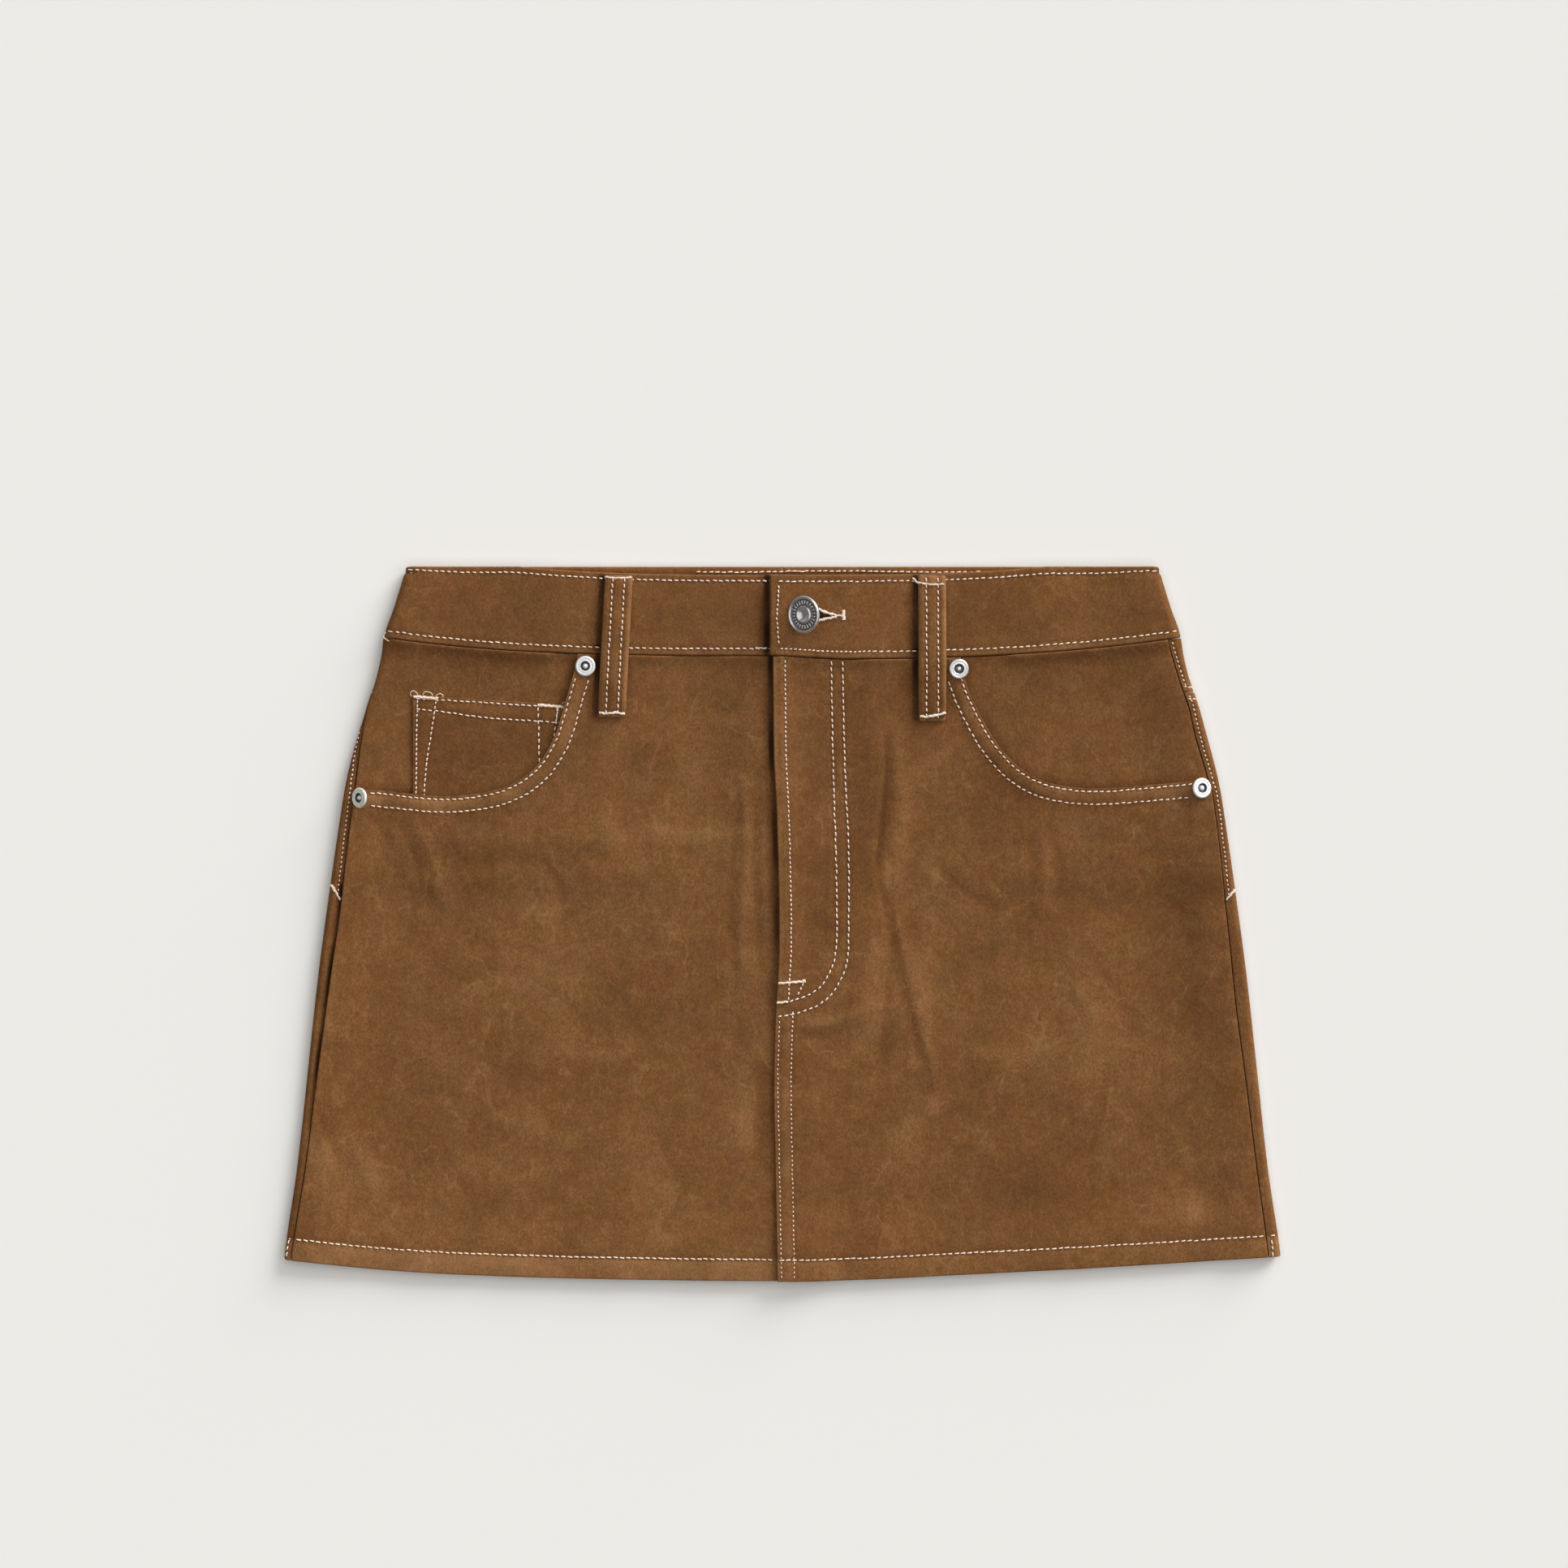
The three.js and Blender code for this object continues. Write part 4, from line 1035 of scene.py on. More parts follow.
def build_front(key, inner_table, replaced):
    piece = PIECES[key]
    side = piece.side
    top, bottom, inner, outer, _ = panel_edges(piece.side_name, inner_table)
    length = float(top(np.array([0.0]))[0, 1] - bottom(np.array([0.0]))[0, 1])
    hem_b = 1 - HEM_ALLOWANCE / length
    a, thick_a = stations(PANEL_WIDTH, PANEL_SPACING)
    b, thick_b = stations(length, PANEL_SPACING, (CORNER_B, hem_b - HEM_STEP, hem_b))
    grid = patch(top(a), bottom(a), inner(b), outer(b), a, b)
    wear = hem_wear(piece.side_name, side * grid[..., 0], grid[..., 1])
    extra = hem_turning(b, hem_b, len(a))
    obj = make_wall(piece, grid, thick_b[:, None] * thick_a[None], extra, wear)
    return finish(obj, SUEDES[key], replaced)


def build_facing(key, replaced):
    piece = PIECES[key]
    side_name, side = piece.side_name, piece.side
    inner_out = FACING_INNER[side_name]

    def seam_point(y):
        return np.stack([seam_at(side_name, y) - FACING_GAP, y], axis=-1)

    top_end = float(band_bottom_y(side_name, side * float(BAND_SIDE_X))) - SEAM_GAP
    outer_top = seam_point(np.array(top_end))
    outer_bottom = seam_point(np.array(float(FACING_BOTTOM_Y)))
    a, thick_a = stations(float(outer_top[0]) - inner_out, PANEL_SPACING, rim_size=SIDE_RIM)
    b, thick_b = stations(FACING_LENGTH, PANEL_SPACING)
    top_out = lerp(inner_out, outer_top[0], a)
    top_y = band_bottom_y(side_name, side * np.minimum(top_out, BAND_SIDE_X)) - SEAM_GAP
    top = np.stack([top_out, top_y], axis=-1)
    bottom = np.stack([lerp(inner_out, outer_bottom[0], a), np.full(len(a), float(FACING_BOTTOM_Y))], axis=-1)
    inner = np.stack([np.full(len(b), float(inner_out)), lerp(top_y[0], FACING_BOTTOM_Y, b)], axis=-1)
    outer = seam_point(lerp(top_y[-1], FACING_BOTTOM_Y, b))
    outer[0] = top[-1]
    grid = patch(top, bottom, inner, outer, a, b)
    obj = make_wall(piece, grid, thick_b[:, None] * thick_a[None])
    return finish(obj, SUEDES["facing"], replaced)


def coin_top_y(out):
    return lerp(COIN["top_inner"], COIN["top_outer"], (out - COIN["inner"]) / (COIN["outer"] - COIN["inner"]))


def build_coin():
    piece = PIECES["coin"]
    a, thick_a = stations(COIN["outer"] - COIN["inner"], 1.2)
    b, thick_b = stations(60, 1.2)
    out = lerp(COIN["inner"], COIN["outer"], a)[None] * np.ones((len(b), 1))
    y = lerp(coin_top_y(out), COIN["bottom"], b[:, None])
    grid = np.stack([out, y], axis=-1)
    obj = make_wall(piece, grid, thick_b[:, None] * thick_a[None])
    return finish(obj, SUEDES["facing"], "coin_pocket")


# Stations on the front, round the side fold and on the back of the pieces that go round it
YOKE_COUNTS = (4, 24, 120)
BACK_COUNTS = (4, 24, 100)
BAND_COUNTS = (150, 24, 90)
RIM_SPAN = 200


def wrap_grid(piece, top_y, bottom_y, front_out, b, counts, rim_size=1.0):
    """Grid of a piece from its front edge over the side fold to the centre back."""
    cloth, side = piece.cloth, piece.side
    front, turn, back = counts
    part = np.concatenate([np.zeros(front), np.ones(turn), np.full(back + 1, 2)])
    t = np.concatenate([np.linspace(0, 1, front, endpoint=False),
                        np.linspace(0, 1, turn, endpoint=False), np.linspace(0, 1, back + 1)])
    rim = RIM * rim_size / RIM_SPAN
    t = np.concatenate([rim, t[1:-1], 1 - CENTRE_BACK_RIM * RIM[::-1] / RIM_SPAN])
    part = np.concatenate([np.full(len(rim), part[0]), part[1:-1], np.full(len(rim), 2)])
    edge = np.concatenate([RIM, np.full(len(t) - 2 * len(rim), 9.0), RIM[::-1]])
    thick = np.sqrt(np.clip(1 - (1 - np.clip(edge / RIM_RADIUS, 0, 1)) ** 2, 0, 1))
    b = b[:, None]
    is_back = part[None] > 0
    near_edge = t[None] * RIM_SPAN <= RIM[-1] * rim_size + 1e-6
    y = lerp(top_y(200.0, True), bottom_y(200.0, True), b)
    for _ in range(4):
        begin = front_out(y)
        tip = np.maximum(begin, cloth.centre(y))
        behind = cloth.behind(y)
        run = np.maximum(tip - begin, 1.0)
        out_front = begin + t[None] * np.where(near_edge, RIM_SPAN, run)
        out_turn = lerp(tip, behind, t[None])
        out_back = lerp(behind, cloth.centre_back(y) - CENTRE_BACK_GAP / 2, t[None])
        out = np.where(part[None] == 0, out_front, np.where(part[None] == 1, out_turn, out_back))
        x = on_cloth(cloth, side, out, y, 0)[..., 0]
        y = lerp(top_y(x, is_back), bottom_y(x, is_back), b)
    return np.stack([out, y], axis=-1), thick


def yoke_y(x):
    return lerp(YOKE_CENTRE_Y, YOKE_SIDE_Y, np.clip(np.abs(x) / YOKE_RUN, 0, 1))


def build_yoke(key, replaced):
    piece = PIECES[key]
    b, thick_b = stations(34, 1.5)
    grid, thick_a = wrap_grid(
        piece,
        lambda x, back: band_bottom_y("right", np.minimum(BAND_SIDE_X, np.abs(x))) - SEAM_GAP,
        lambda x, back: yoke_y(x),
        lambda y: seam_at(piece.side_name, y) + SEAM_GAP / 2,
        b, YOKE_COUNTS, SIDE_RIM,
    )
    obj = make_wall(piece, grid, thick_b[:, None] * thick_a[None])
    return finish(obj, SUEDES["back"], replaced)


def build_back(key, replaced):
    piece = PIECES[key]
    length = YOKE_SIDE_Y - float(hem_y(0.0))
    hem_b = 1 - HEM_ALLOWANCE / length
    b, thick_b = stations(length, BACK_SPACING, (hem_b - HEM_STEP, hem_b))
    grid, thick_a = wrap_grid(
        piece,
        lambda x, back: yoke_y(x) - SEAM_GAP,
        lambda x, back: hem_y(x),
        lambda y: seam_at(piece.side_name, y) + SEAM_GAP / 2,
        b, BACK_COUNTS, SIDE_RIM,
    )
    extra = hem_turning(b, hem_b, grid.shape[1])
    x = on_cloth(piece.cloth, piece.side, grid[..., 0], grid[..., 1], 0)[..., 0]
    wear = hem_wear("back", x, grid[..., 1])
    obj = make_wall(piece, grid, thick_b[:, None] * thick_a[None], extra, wear)
    return finish(obj, SUEDES["back"], replaced)


def build_band(key, front_end, replaced):
    piece = PIECES[key]
    b, thick_b = stations(42, 1.3, (), BAND_RIM)
    grid, thick_a = wrap_grid(
        piece,
        lambda x, back: np.where(back, WAIST_Y, front_waist_y(x)),
        lambda x, back: np.where(back, band_bottom_y("right", np.minimum(np.abs(x), 199)),
                                 band_bottom_y(piece.side_name, x)),
        lambda y: piece.side * front_end + 0 * y,
        b, BAND_COUNTS, BAND_RIM,
    )
    obj = make_wall(piece, grid, thick_b[:, None] * thick_a[None])
    return finish(obj, SUEDES["band"], replaced)


# Sewing. Lines are planned first, because they press into the cloth; the threads come after

HEM_STITCH = 10.7
BAND_STITCH = 3.4
SEAMS = []
BARS = []
FRAYS = []
BACK_SEWING = {"depth": 0.8, "bow": 0.06, "above": -0.12}
FINE_SEWING = {"pitch": 2.3, "bow": 0.16, "above": -0.14, "fill": 0.64}

# Side groove by height: from, to, share of the full depth
SIDE_SPANS = [(140, 22, 0.35), (18, -96, 1.0), (-100, -176, 0.25)]


def seam(key, points, pitch=STITCH_PITCH, depth=0.36, bow=0.32, above=0.1, fill=0.8):
    """Plan a line of stitches through points of (out, y) on a piece."""
    points = np.asarray(points, float)
    line = spline(points, max(40, int(length_of(points) * 1.2)))
    PIECES[key].groove(line, depth)
    SEAMS.append((PIECES[key].at, line, pitch, bow, above, fill))
    return line


def bar_tack(surface, start, end, width=1.5):
    BARS.append((surface, np.array(start, float), np.array(end, float), width))


def on_back(cloth, x, y):
    """Way along the cloth to a place on the back, x from the centre."""
    return cloth.behind(y) + cloth.centre(y) - x


INSIDE_STITCH_Y = 173.7
FINE_STITCH_TO = 42


def inside_back_band(x, y, above):
    """Points on the inner face of the back waistband, seen over the dip of the front."""
    x, y = np.broadcast_arrays(np.asarray(x, float), np.asarray(y, float))
    return np.stack([x, y, raised(x, y) + BAND_PLY + above], axis=-1)


def plan_waistband():
    for side_name in SIDE:
        key = "band_" + side_name
        piece = PIECES[key]
        first = 4.0 if side_name == "right" else -2.2
        outs = np.linspace(first, 184.5, 40)
        drop = 3.0 if side_name == "right" else 3.5
        top = front_waist_y(piece.side * outs) - drop + 1.2 * ease((outs - 150) / 35)
        seam(key, pairs(outs, top))
        outs = np.linspace(first + (0.6 if side_name == "left" else 0), 194.5, 40)
        low = band_bottom_y(side_name, piece.side * outs) + BAND_STITCH
        line = pairs(outs, low)
        fine = outs < FINE_STITCH_TO if side_name == "left" else outs < 0
        if fine.any():
            seam(key, line[: fine.sum() + 1], 2.3)
        seam(key, line[max(fine.sum(), 0):], 3.3)
        piece.strip(pairs(outs, low - 2.4), 1.6, 0.35)
        piece.strip(pairs(outs, low - 0.2), 6.5, 0.12)
        xs = np.linspace(191, 1.5, 40)
        back_top = np.full(len(xs), WAIST_Y - 3.0)
        seam(key, pairs(on_back(BAND, xs, back_top), back_top), **BACK_SEWING)
        back_low = band_bottom_y("right", xs) + BAND_STITCH
        seam(key, pairs(on_back(BAND, xs, back_low), back_low), 3.4, **BACK_SEWING)
        # Painted shadow of the overlapping band's end: darker strips on the underlap beside it.
        shadow = [(7.6, 175), (7.6, 128)]
        if side_name == "right":
            piece.strip(shadow, 1.5, -0.9)
            piece.strip(shadow, 4.0, -0.35)
            piece.swell(shadow, -0.35, 4)
    end = [(-1.8, 167.0), (-2.3, 158), (-2.7, 151.4), (-2.3, 143), (-1.7, 137.6)]
    seam("band_left", end, 2.2)
    for side_name in SIDE:
        outs = np.linspace(0, 190, 60)
        top = band_bottom_y(side_name, SIDE[side_name] * outs) - SEAM_GAP
        for key in ("front_", "facing_", "yoke_"):
            PIECES[key + side_name].swell(pairs(outs, top), 1.3, 3.4)
        PIECES["facing_" + side_name].swell(pairs(outs, top)[36:], 1.5, 5)
    PIECES["band_left"].swell([(OVERLAP_X, 174), (OVERLAP_X, 130)], 2.0, 11)
    inside = np.array([(x, INSIDE_STITCH_Y) for x in np.linspace(-43, 101, 60)])
    inside[:, 1] += 0.25 * np.sin(inside[:, 0] / 17)
    SEAMS.append((inside_back_band, inside, STITCH_PITCH, 0.32, 0.1, 0.86))
    SEAMS.append((inside_back_band, np.array([(0.8, 173.6), (5, 174.0), (11.4, 173.6)]), 3.6, 0.6, 0.3, 0.9))
    FRAYS.append((PIECES["band_right"].at, [(194.4, 143.9), (195.4, 141.6), (193.2, 139.2)], 1.0))
    bar_tack(PIECES["band_right"].at, (13.2, 136.0), (7.6, 135.8), 0.9)


def fly_line(offset_x, top_y, bottom_y, count=30):
    ys = np.linspace(top_y, bottom_y, count)
    return pairs(along(FLY_EDGE, ys) + offset_x, ys)


J_INNER = [
    (24, 129.8), (25, 75), (26.4, 36.6), (26.8, -4.6), (26.3, -11.8), (25.4, -18.2),
    (23.1, -24.2), (19.4, -30.2), (15.6, -33.4), (9.6, -36.2), (6, -37.4), (2.8, -38.6),
]
J_OUTER = [
    (29.6, 129.8), (30.8, 75), (32.6, 36.6), (32.6, -4.6), (32.4, -12.2), (31.2, -21.4),
    (28.6, -27.4), (24.4, -34.6), (20.4, -38.2), (15.6, -41), (6.4, -44.2), (-2.8, -45.8),
]


def plan_fly():
    panel = PIECES["front_left"]
    seam("front_left", fly_line(FLY_STITCH, 130.4, -37.8), SHORT_PITCH, bow=0.2, above=-0.04)
    seam("front_left", J_INNER)
    seam("front_left", J_OUTER)
    seam("front_left", fly_line(2.0, -47.4, -175), **FINE_SEWING)
    seam("front_left", fly_line(8.4, -42.6, -175), **FINE_SEWING)
    under = PIECES["front_right"]
    # Painted shadow of the overlapping fly edge: darker strips on the panel beneath it.
    beside = fly_line(-1.3, 131, -176) * (-1, 1)
    under.strip(beside[:18], 1.4, -0.8, 60)
    under.strip(beside[:14], 3.6, -0.16, 110)
    under.strip(beside[16:], 0.7, -0.4, 40)
    under.swell(beside[:14], -0.3, 5)
    panel.swell(fly_line(0, 131, -30), 2.4, 9)
    panel.swell(fly_line(0, -30, -176), 0.2, 5)
    panel.swell(fly_line(4.6, 131, -40), 0.35, 3)
    panel.swell(fly_line(5.2, -50, -176), 0.3, 3)
    panel.strip(fly_line(0.6, 131, -176), 1.2, 0.4)
    panel.strip(fly_line(5.2, -46, -176), 2.6, 0.22)
    panel.strip(fly_line(2.8, 131, -44), 2.4, 0.12)
    bar_tack(panel.at, (-1.9, -29.2), (10.6, -28.3), 1.3)
    bar_tack(panel.at, (10.0, -28.3), (11.4, -28.2), 2.0)
    bar_tack(panel.at, (-2.7, -38.9), (2.8, -38.2), 1.2)
    seam("front_left", [(10.4, -28.8), (9, -32), (7.4, -35.2)], 2.6)


def plan_pockets():
    limits = {"right": (121.6, 120.8, 204.6), "left": (131.2, 120.2, 202.6)}
    for side_name in SIDE:
        key = "front_" + side_name
        piece = PIECES[key]
        *_, mouth = panel_edges(side_name, UNDER_EDGE if side_name == "right" else FLY_EDGE)
        near_top, far_top, outer = limits[side_name]
        near = offset(mouth, -EDGE_STITCH)
        far = offset(mouth, -(EDGE_STITCH + NEEDLE_GAUGE))
        near = near[(near[:, 1] < near_top) & (near[:, 0] < outer)]
        far = far[(far[:, 1] < far_top) & (far[:, 0] < outer)]
        seam(key, near[::10])
        seam(key, far[::10])
        piece.strip(offset(mouth, -(EDGE_STITCH + NEEDLE_GAUGE / 2))[8:], NEEDLE_GAUGE / 2, 0.34)
        piece.strip(offset(mouth, -0.5)[4:], 0.9, 0.4)
        if side_name == "right":
            piece.strip(offset(mouth, -(EDGE_STITCH + NEEDLE_GAUGE / 2))[200:], NEEDLE_GAUGE / 2, 0.35)
        piece.swell(offset(mouth, -4.7)[10:-20], 0.35, 3.2)
        piece.swell(mouth[30:-70], 1.4, 8)
        # Painted shadow of the mouth's edge: a darker strip on the facing inside it.
        PIECES["facing_" + side_name].strip(offset(mouth, 1.0)[10:-20], 2.6, -0.35)


# Loose threads at the coin pocket's corners, and how high they stand
COIN_FRAYS = [
    ([(181.8, 111.8), (183.4, 113.2), (182.2, 115.0), (180.0, 113.6), (180.4, 112.0)], 0.9),
    ([(177.6, 112.2), (176.4, 114.4), (173.4, 114.0), (172.4, 112.2)], 0.8),
    ([(171.6, 111.8), (169.2, 113.6), (167.4, 112.6), (168.6, 110.8)], 0.8),
    ([(108.8, 108.4), (107.2, 109.4), (106.4, 107.6)], 0.8),
]


def plan_coin():
    piece = PIECES["coin"]
    outs = np.linspace(181.2, 99, 30)
    top = coin_top_y(outs)
    seam("coin", pairs(outs, top - 1.5))
    seam("coin", pairs(outs, top - 6.8 - 2.2 * ease((181 - outs) / 40)))
    seam("coin", [(179.8, 110.8), (180.4, 91), (180.8, 64), (180.8, 54)], 2.4)
    seam("coin", [(170.8, 110.4), (173.2, 93.8), (175.6, 79), (176.8, 64), (177.2, 54)], 2.6)
    seam("coin", [(120.4, 107.2), (119.8, 79.8), (119.4, 70)])
    seam("coin", [(110.6, 106.8), (112.4, 93.4), (114, 86)])
    piece.strip(pairs(outs, top - 0.6), 1.2, 0.35)
    piece.strip(pairs(outs, top - 4.5), 3, 0.2)
    bar_tack(piece.at, (181.8, 112.0), (169.8, 111.0), 1.5)
    bar_tack(piece.at, (120.6, 107.9), (107.2, 106.8), 1.5)
    bar_tack(piece.at, (110.8, 106.6), (111.6, 98.6), 0.9)
    facing = PIECES["facing_right"].at
    for points, rise in COIN_FRAYS:
        FRAYS.append((facing, points, rise))


# Slanted bar tacks at the side seams: their lower and upper height, and how far the upper end reaches
SIDE_TACKS = [("right", 11.8, 19.4, 5.6), ("left", 11.8, 17.0, 5.0)]

# Valley along a side seam: depth, reach, and the share of its painted shadow
SIDE_VALLEY = {"right": (0.7, 2.6, 0.9), "left": (0.25, 1.4, 0.0)}


def plan_sides():
    """Side seams: a valley along the seam with a painted shadow in it, a topstitch on the back piece and its
    bar tacks.
    """
    for side_name, top in (("right", 95.0), ("left", 113.2)):
        for high, low, share in SIDE_SPANS:
            ys = np.linspace(high, low, 50)
            valley = pairs(seam_at(side_name, ys), ys)
            depth, reach, wear_and_shade = SIDE_VALLEY[side_name]
            for key in ("front_", "facing_"):
                PIECES[key + side_name].swell(valley, share * (depth if wear_and_shade > 0.5 else -depth), reach)
            for key in ("yoke_", "back_"):
                sunk = -2.2 * depth if wear_and_shade > 0.5 else -depth
                PIECES[key + side_name].swell(valley, share * sunk, 1.3 * reach)
                # Painted shadow in the valley: a darker strip on the back pieces.
                PIECES[key + side_name].strip(valley, reach - 0.8, -share * wear_and_shade, 30)
        ys = np.linspace(top, 13.5, 24)
        seam("back_" + side_name, pairs(seam_at(side_name, ys) + 2.2, ys), **FINE_SEWING)
        PIECES["back_" + side_name].swell(pairs(seam_at(side_name, ys) + 2.6, ys), 0.35, 2.2)
        low = np.linspace(-155.6, -164.4, 5)
        seam("back_" + side_name, pairs(seam_at(side_name, low) + 2.4, low))
    ys = np.linspace(139.5, 116.6, 10)
    seam("yoke_left", pairs(seam_at("left", ys) + 2.0, ys), **FINE_SEWING)
    for side_name, low, high, reach in SIDE_TACKS:
        start = (float(seam_at(side_name, low)) + 0.6, low)
        end = (float(seam_at(side_name, high)) + reach, high)
        bar_tack(PIECES["back_" + side_name].at, start, end, 1.2)


def plan_hem():
    for side_name, side in SIDE.items():
        key = "front_" + side_name
        first = 4.5 if side_name == "right" else float(along(FLY_EDGE, -165.0)) + 0.6
        last = float(seam_at(side_name, -155.0)) - 1.0
        outs = np.linspace(first, last, 50)
        seam(key, pairs(outs, hem_y(side * outs) + HEM_STITCH), 3.2, fill=0.92)
        PIECES[key].swell(pairs(outs, hem_y(side * outs) + 5), 0.3, 4.5)
        back = "back_" + side_name
        start = last + 2.6
        outs = np.linspace(start, float(SKIN.centre(-155.0)) + 1.5, 6)
        seam(back, pairs(outs, hem_y(side * outs) + HEM_STITCH), 3.2)
        xs = np.linspace(float(SKIN.centre(-155.0)), 1.5, 40)
        ys = hem_y(side * xs) + HEM_STITCH
        seam(back, pairs(on_back(SKIN, xs, ys), ys), 3.2, **BACK_SEWING)


YOKE_STITCH = {"yoke_": 2.2, "back_": -3.6}
YOKE_TACK_Y = {"yoke_": 116.9, "back_": 111.0}
CENTRE_BACK_STITCH = (2.0, 8.4)


def plan_back():
    for side_name in SIDE:
        xs = np.linspace(198, 1.5, 30)
        for key, rise in YOKE_STITCH.items():
            ys = yoke_y(xs) + rise
            seam(key + side_name, pairs(on_back(SKIN, xs, ys), ys), **BACK_SEWING)
        for key, y in YOKE_TACK_Y.items():
            first = float(seam_at(side_name, y)) + 0.8
            seam(key + side_name, [(first, y), (first + 3, y), (first + 7, y)], 1.9, fill=0.92)
            PIECES[key + side_name].swell([(first, y), (first + 2.4, y)], 0.5, 2.6)
            PIECES[key + side_name].strip([(first, y), (first + 7, y)], 2.6, 0.45)
        ys = np.linspace(YOKE_CENTRE_Y - 3, float(hem_y(0.0)) + 1, 40)
        if side_name == "left":
            for inset in CENTRE_BACK_STITCH:
                seam("back_left", pairs(on_back(SKIN, inset, ys), ys), **BACK_SEWING)


# Threads

STITCH_SIDES = 6
STITCH_RINGS = 6


def ring_faces(rings, sides):
    """Four-cornered faces between rings of points."""
    faces = []
    for r in range(rings - 1):
        for s in range(sides):
            n = (s + 1) % sides
            low, high = r * sides, (r + 1) * sides
            faces.append((low + s, low + n, high + n, high + s))
    return faces


def stitch_mesh(starts, ends, ups, radius=THREAD_RADIUS, bow=0.32):
    """Points and faces of many short threads, each bowed from a start to an end over the cloth."""
    rings = np.linspace(0, 1, STITCH_RINGS)
    swell = np.sqrt(np.clip(1 - (2 * rings - 1) ** 4, 0.08, 1))
    height = bow * (1 - (2 * rings - 1) ** 2) - 0.5 * (2 * rings - 1) ** 6
    axis = ends - starts
    tangent = axis / np.linalg.norm(axis, axis=1)[:, None]
    across = np.cross(ups, tangent)
    across /= np.linalg.norm(across, axis=1)[:, None]
    normal = np.cross(tangent, across)
    angle = np.linspace(0, 2 * math.pi, STITCH_SIDES, endpoint=False)
    centre = starts[:, None] + axis[:, None] * rings[None, :, None]
    centre = centre + normal[:, None] * height[None, :, None]
    ring = (across[:, None, None] * np.cos(angle)[None, None, :, None]
            + normal[:, None, None] * np.sin(angle)[None, None, :, None])
    points = (centre[:, :, None] + ring * (radius * swell)[None, :, None, None]).reshape(-1, 3)
    faces = ring_faces(STITCH_RINGS, STITCH_SIDES)
    last = (STITCH_RINGS - 1) * STITCH_SIDES
    faces += [(3, 2, 1, 0), (5, 4, 3, 0)]
    faces += [(last, last + 1, last + 2, last + 3), (last, last + 3, last + 4, last + 5)]
    step = np.arange(len(starts)) * STITCH_RINGS * STITCH_SIDES
    return points, (np.array(faces)[None] + step[:, None, None]).reshape(-1, 4)


def walk(line, pitch, rng, fill=0.8):
    """Start and end of each stitch along a line of (out, y), a little uneven and aslant."""
    count = max(1, int(round(length_of(line) / pitch)))
    dense = resample(line, count * 24 + 1)
    middle = np.arange(count) + 0.5 + rng.normal(0, 0.035, count)
    half = fill / 2 * (1 + rng.normal(0, 0.07, count))

    def place(t):
        return dense[np.clip((t / count * (len(dense) - 1)).astype(int), 0, len(dense) - 1)]

    starts, ends = place(middle - half), place(middle + half)
    direction = ends - starts
    direction /= np.maximum(np.linalg.norm(direction, axis=1), 1e-6)[:, None]
    side = np.stack([-direction[:, 1], direction[:, 0]], axis=1)
    slant = 0.14 + rng.normal(0, 0.06, count)
    sway = rng.normal(0, 0.08, count)
    return starts + side * (sway - slant)[:, None], ends + side * (sway + slant)[:, None]


def laid(surface, starts, ends, above, bow, radius):
    """Threads between places on a surface."""
    middle = (starts + ends) / 2
    p = surface(starts[:, 0], starts[:, 1], above)
    q = surface(ends[:, 0], ends[:, 1], above)
    ups = surface(middle[:, 0], middle[:, 1], 1.0) - surface(middle[:, 0], middle[:, 1], 0.0)
    return stitch_mesh(p, q, ups, radius, bow)


def tack_threads(surface, start, end, width, rng):
    """Close zigzag of threads that make a bar tack."""
    run = end - start
    length = np.linalg.norm(run)
    count = max(3, int(length / 0.42))
    t = (np.arange(count) + 0.5)[:, None] / count
    along_run = run / length
    side = np.array([-along_run[1], along_run[0]])
    reach = width / 2 * (1 + rng.normal(0, 0.14, (count, 1)))
    wave = 0.12 * np.sin(np.arange(count) * 0.9)[:, None]
    starts = start + run * t + side * (reach + wave) - along_run * 0.16
    ends = start + run * t - side * (reach - wave) + along_run * 0.16
    return laid(surface, starts, ends, 0.3, 0.34, 0.3)


def tube(path, radius, sides=8):
    """Points and faces of a round thread along a path, closed at both ends."""
    path = np.asarray(path, float)
    tangent = np.gradient(path, axis=0)
    tangent /= np.linalg.norm(tangent, axis=1)[:, None]
    across = np.cross(tangent, np.array([0.13, 0.21, 1.0]))
    across /= np.linalg.norm(across, axis=1)[:, None]
    normal = np.cross(tangent, across)
    angle = np.linspace(0, 2 * math.pi, sides, endpoint=False)
    size = radius * np.sqrt(np.clip(1 - np.linspace(-1, 1, len(path)) ** 8, 0.1, 1))
    points = (path[:, None] + size[:, None, None] * (across[:, None] * np.cos(angle)[None, :, None]
                                                     + normal[:, None] * np.sin(angle)[None, :, None]))
    faces = ring_faces(len(path), sides)
    last = (len(path) - 1) * sides
    faces += [(0, 3, 2, 1), (0, 5, 4, 3), (0, 7, 6, 5)]
    faces += [(last, last + 1, last + 2, last + 3), (last, last + 3, last + 4, last + 5),
              (last, last + 5, last + 6, last + 7)]
    return points.reshape(-1, 3), np.array(faces)


def joined(name, parts):
    """One object from many parts of points and four-cornered faces."""
    total, points, faces = 0, [], []
    for part_points, part_faces in parts:
        points.append(part_points)
        faces.append(part_faces + total)
        total += len(part_points)
    return make_mesh(name, np.vstack(points), np.vstack(faces))


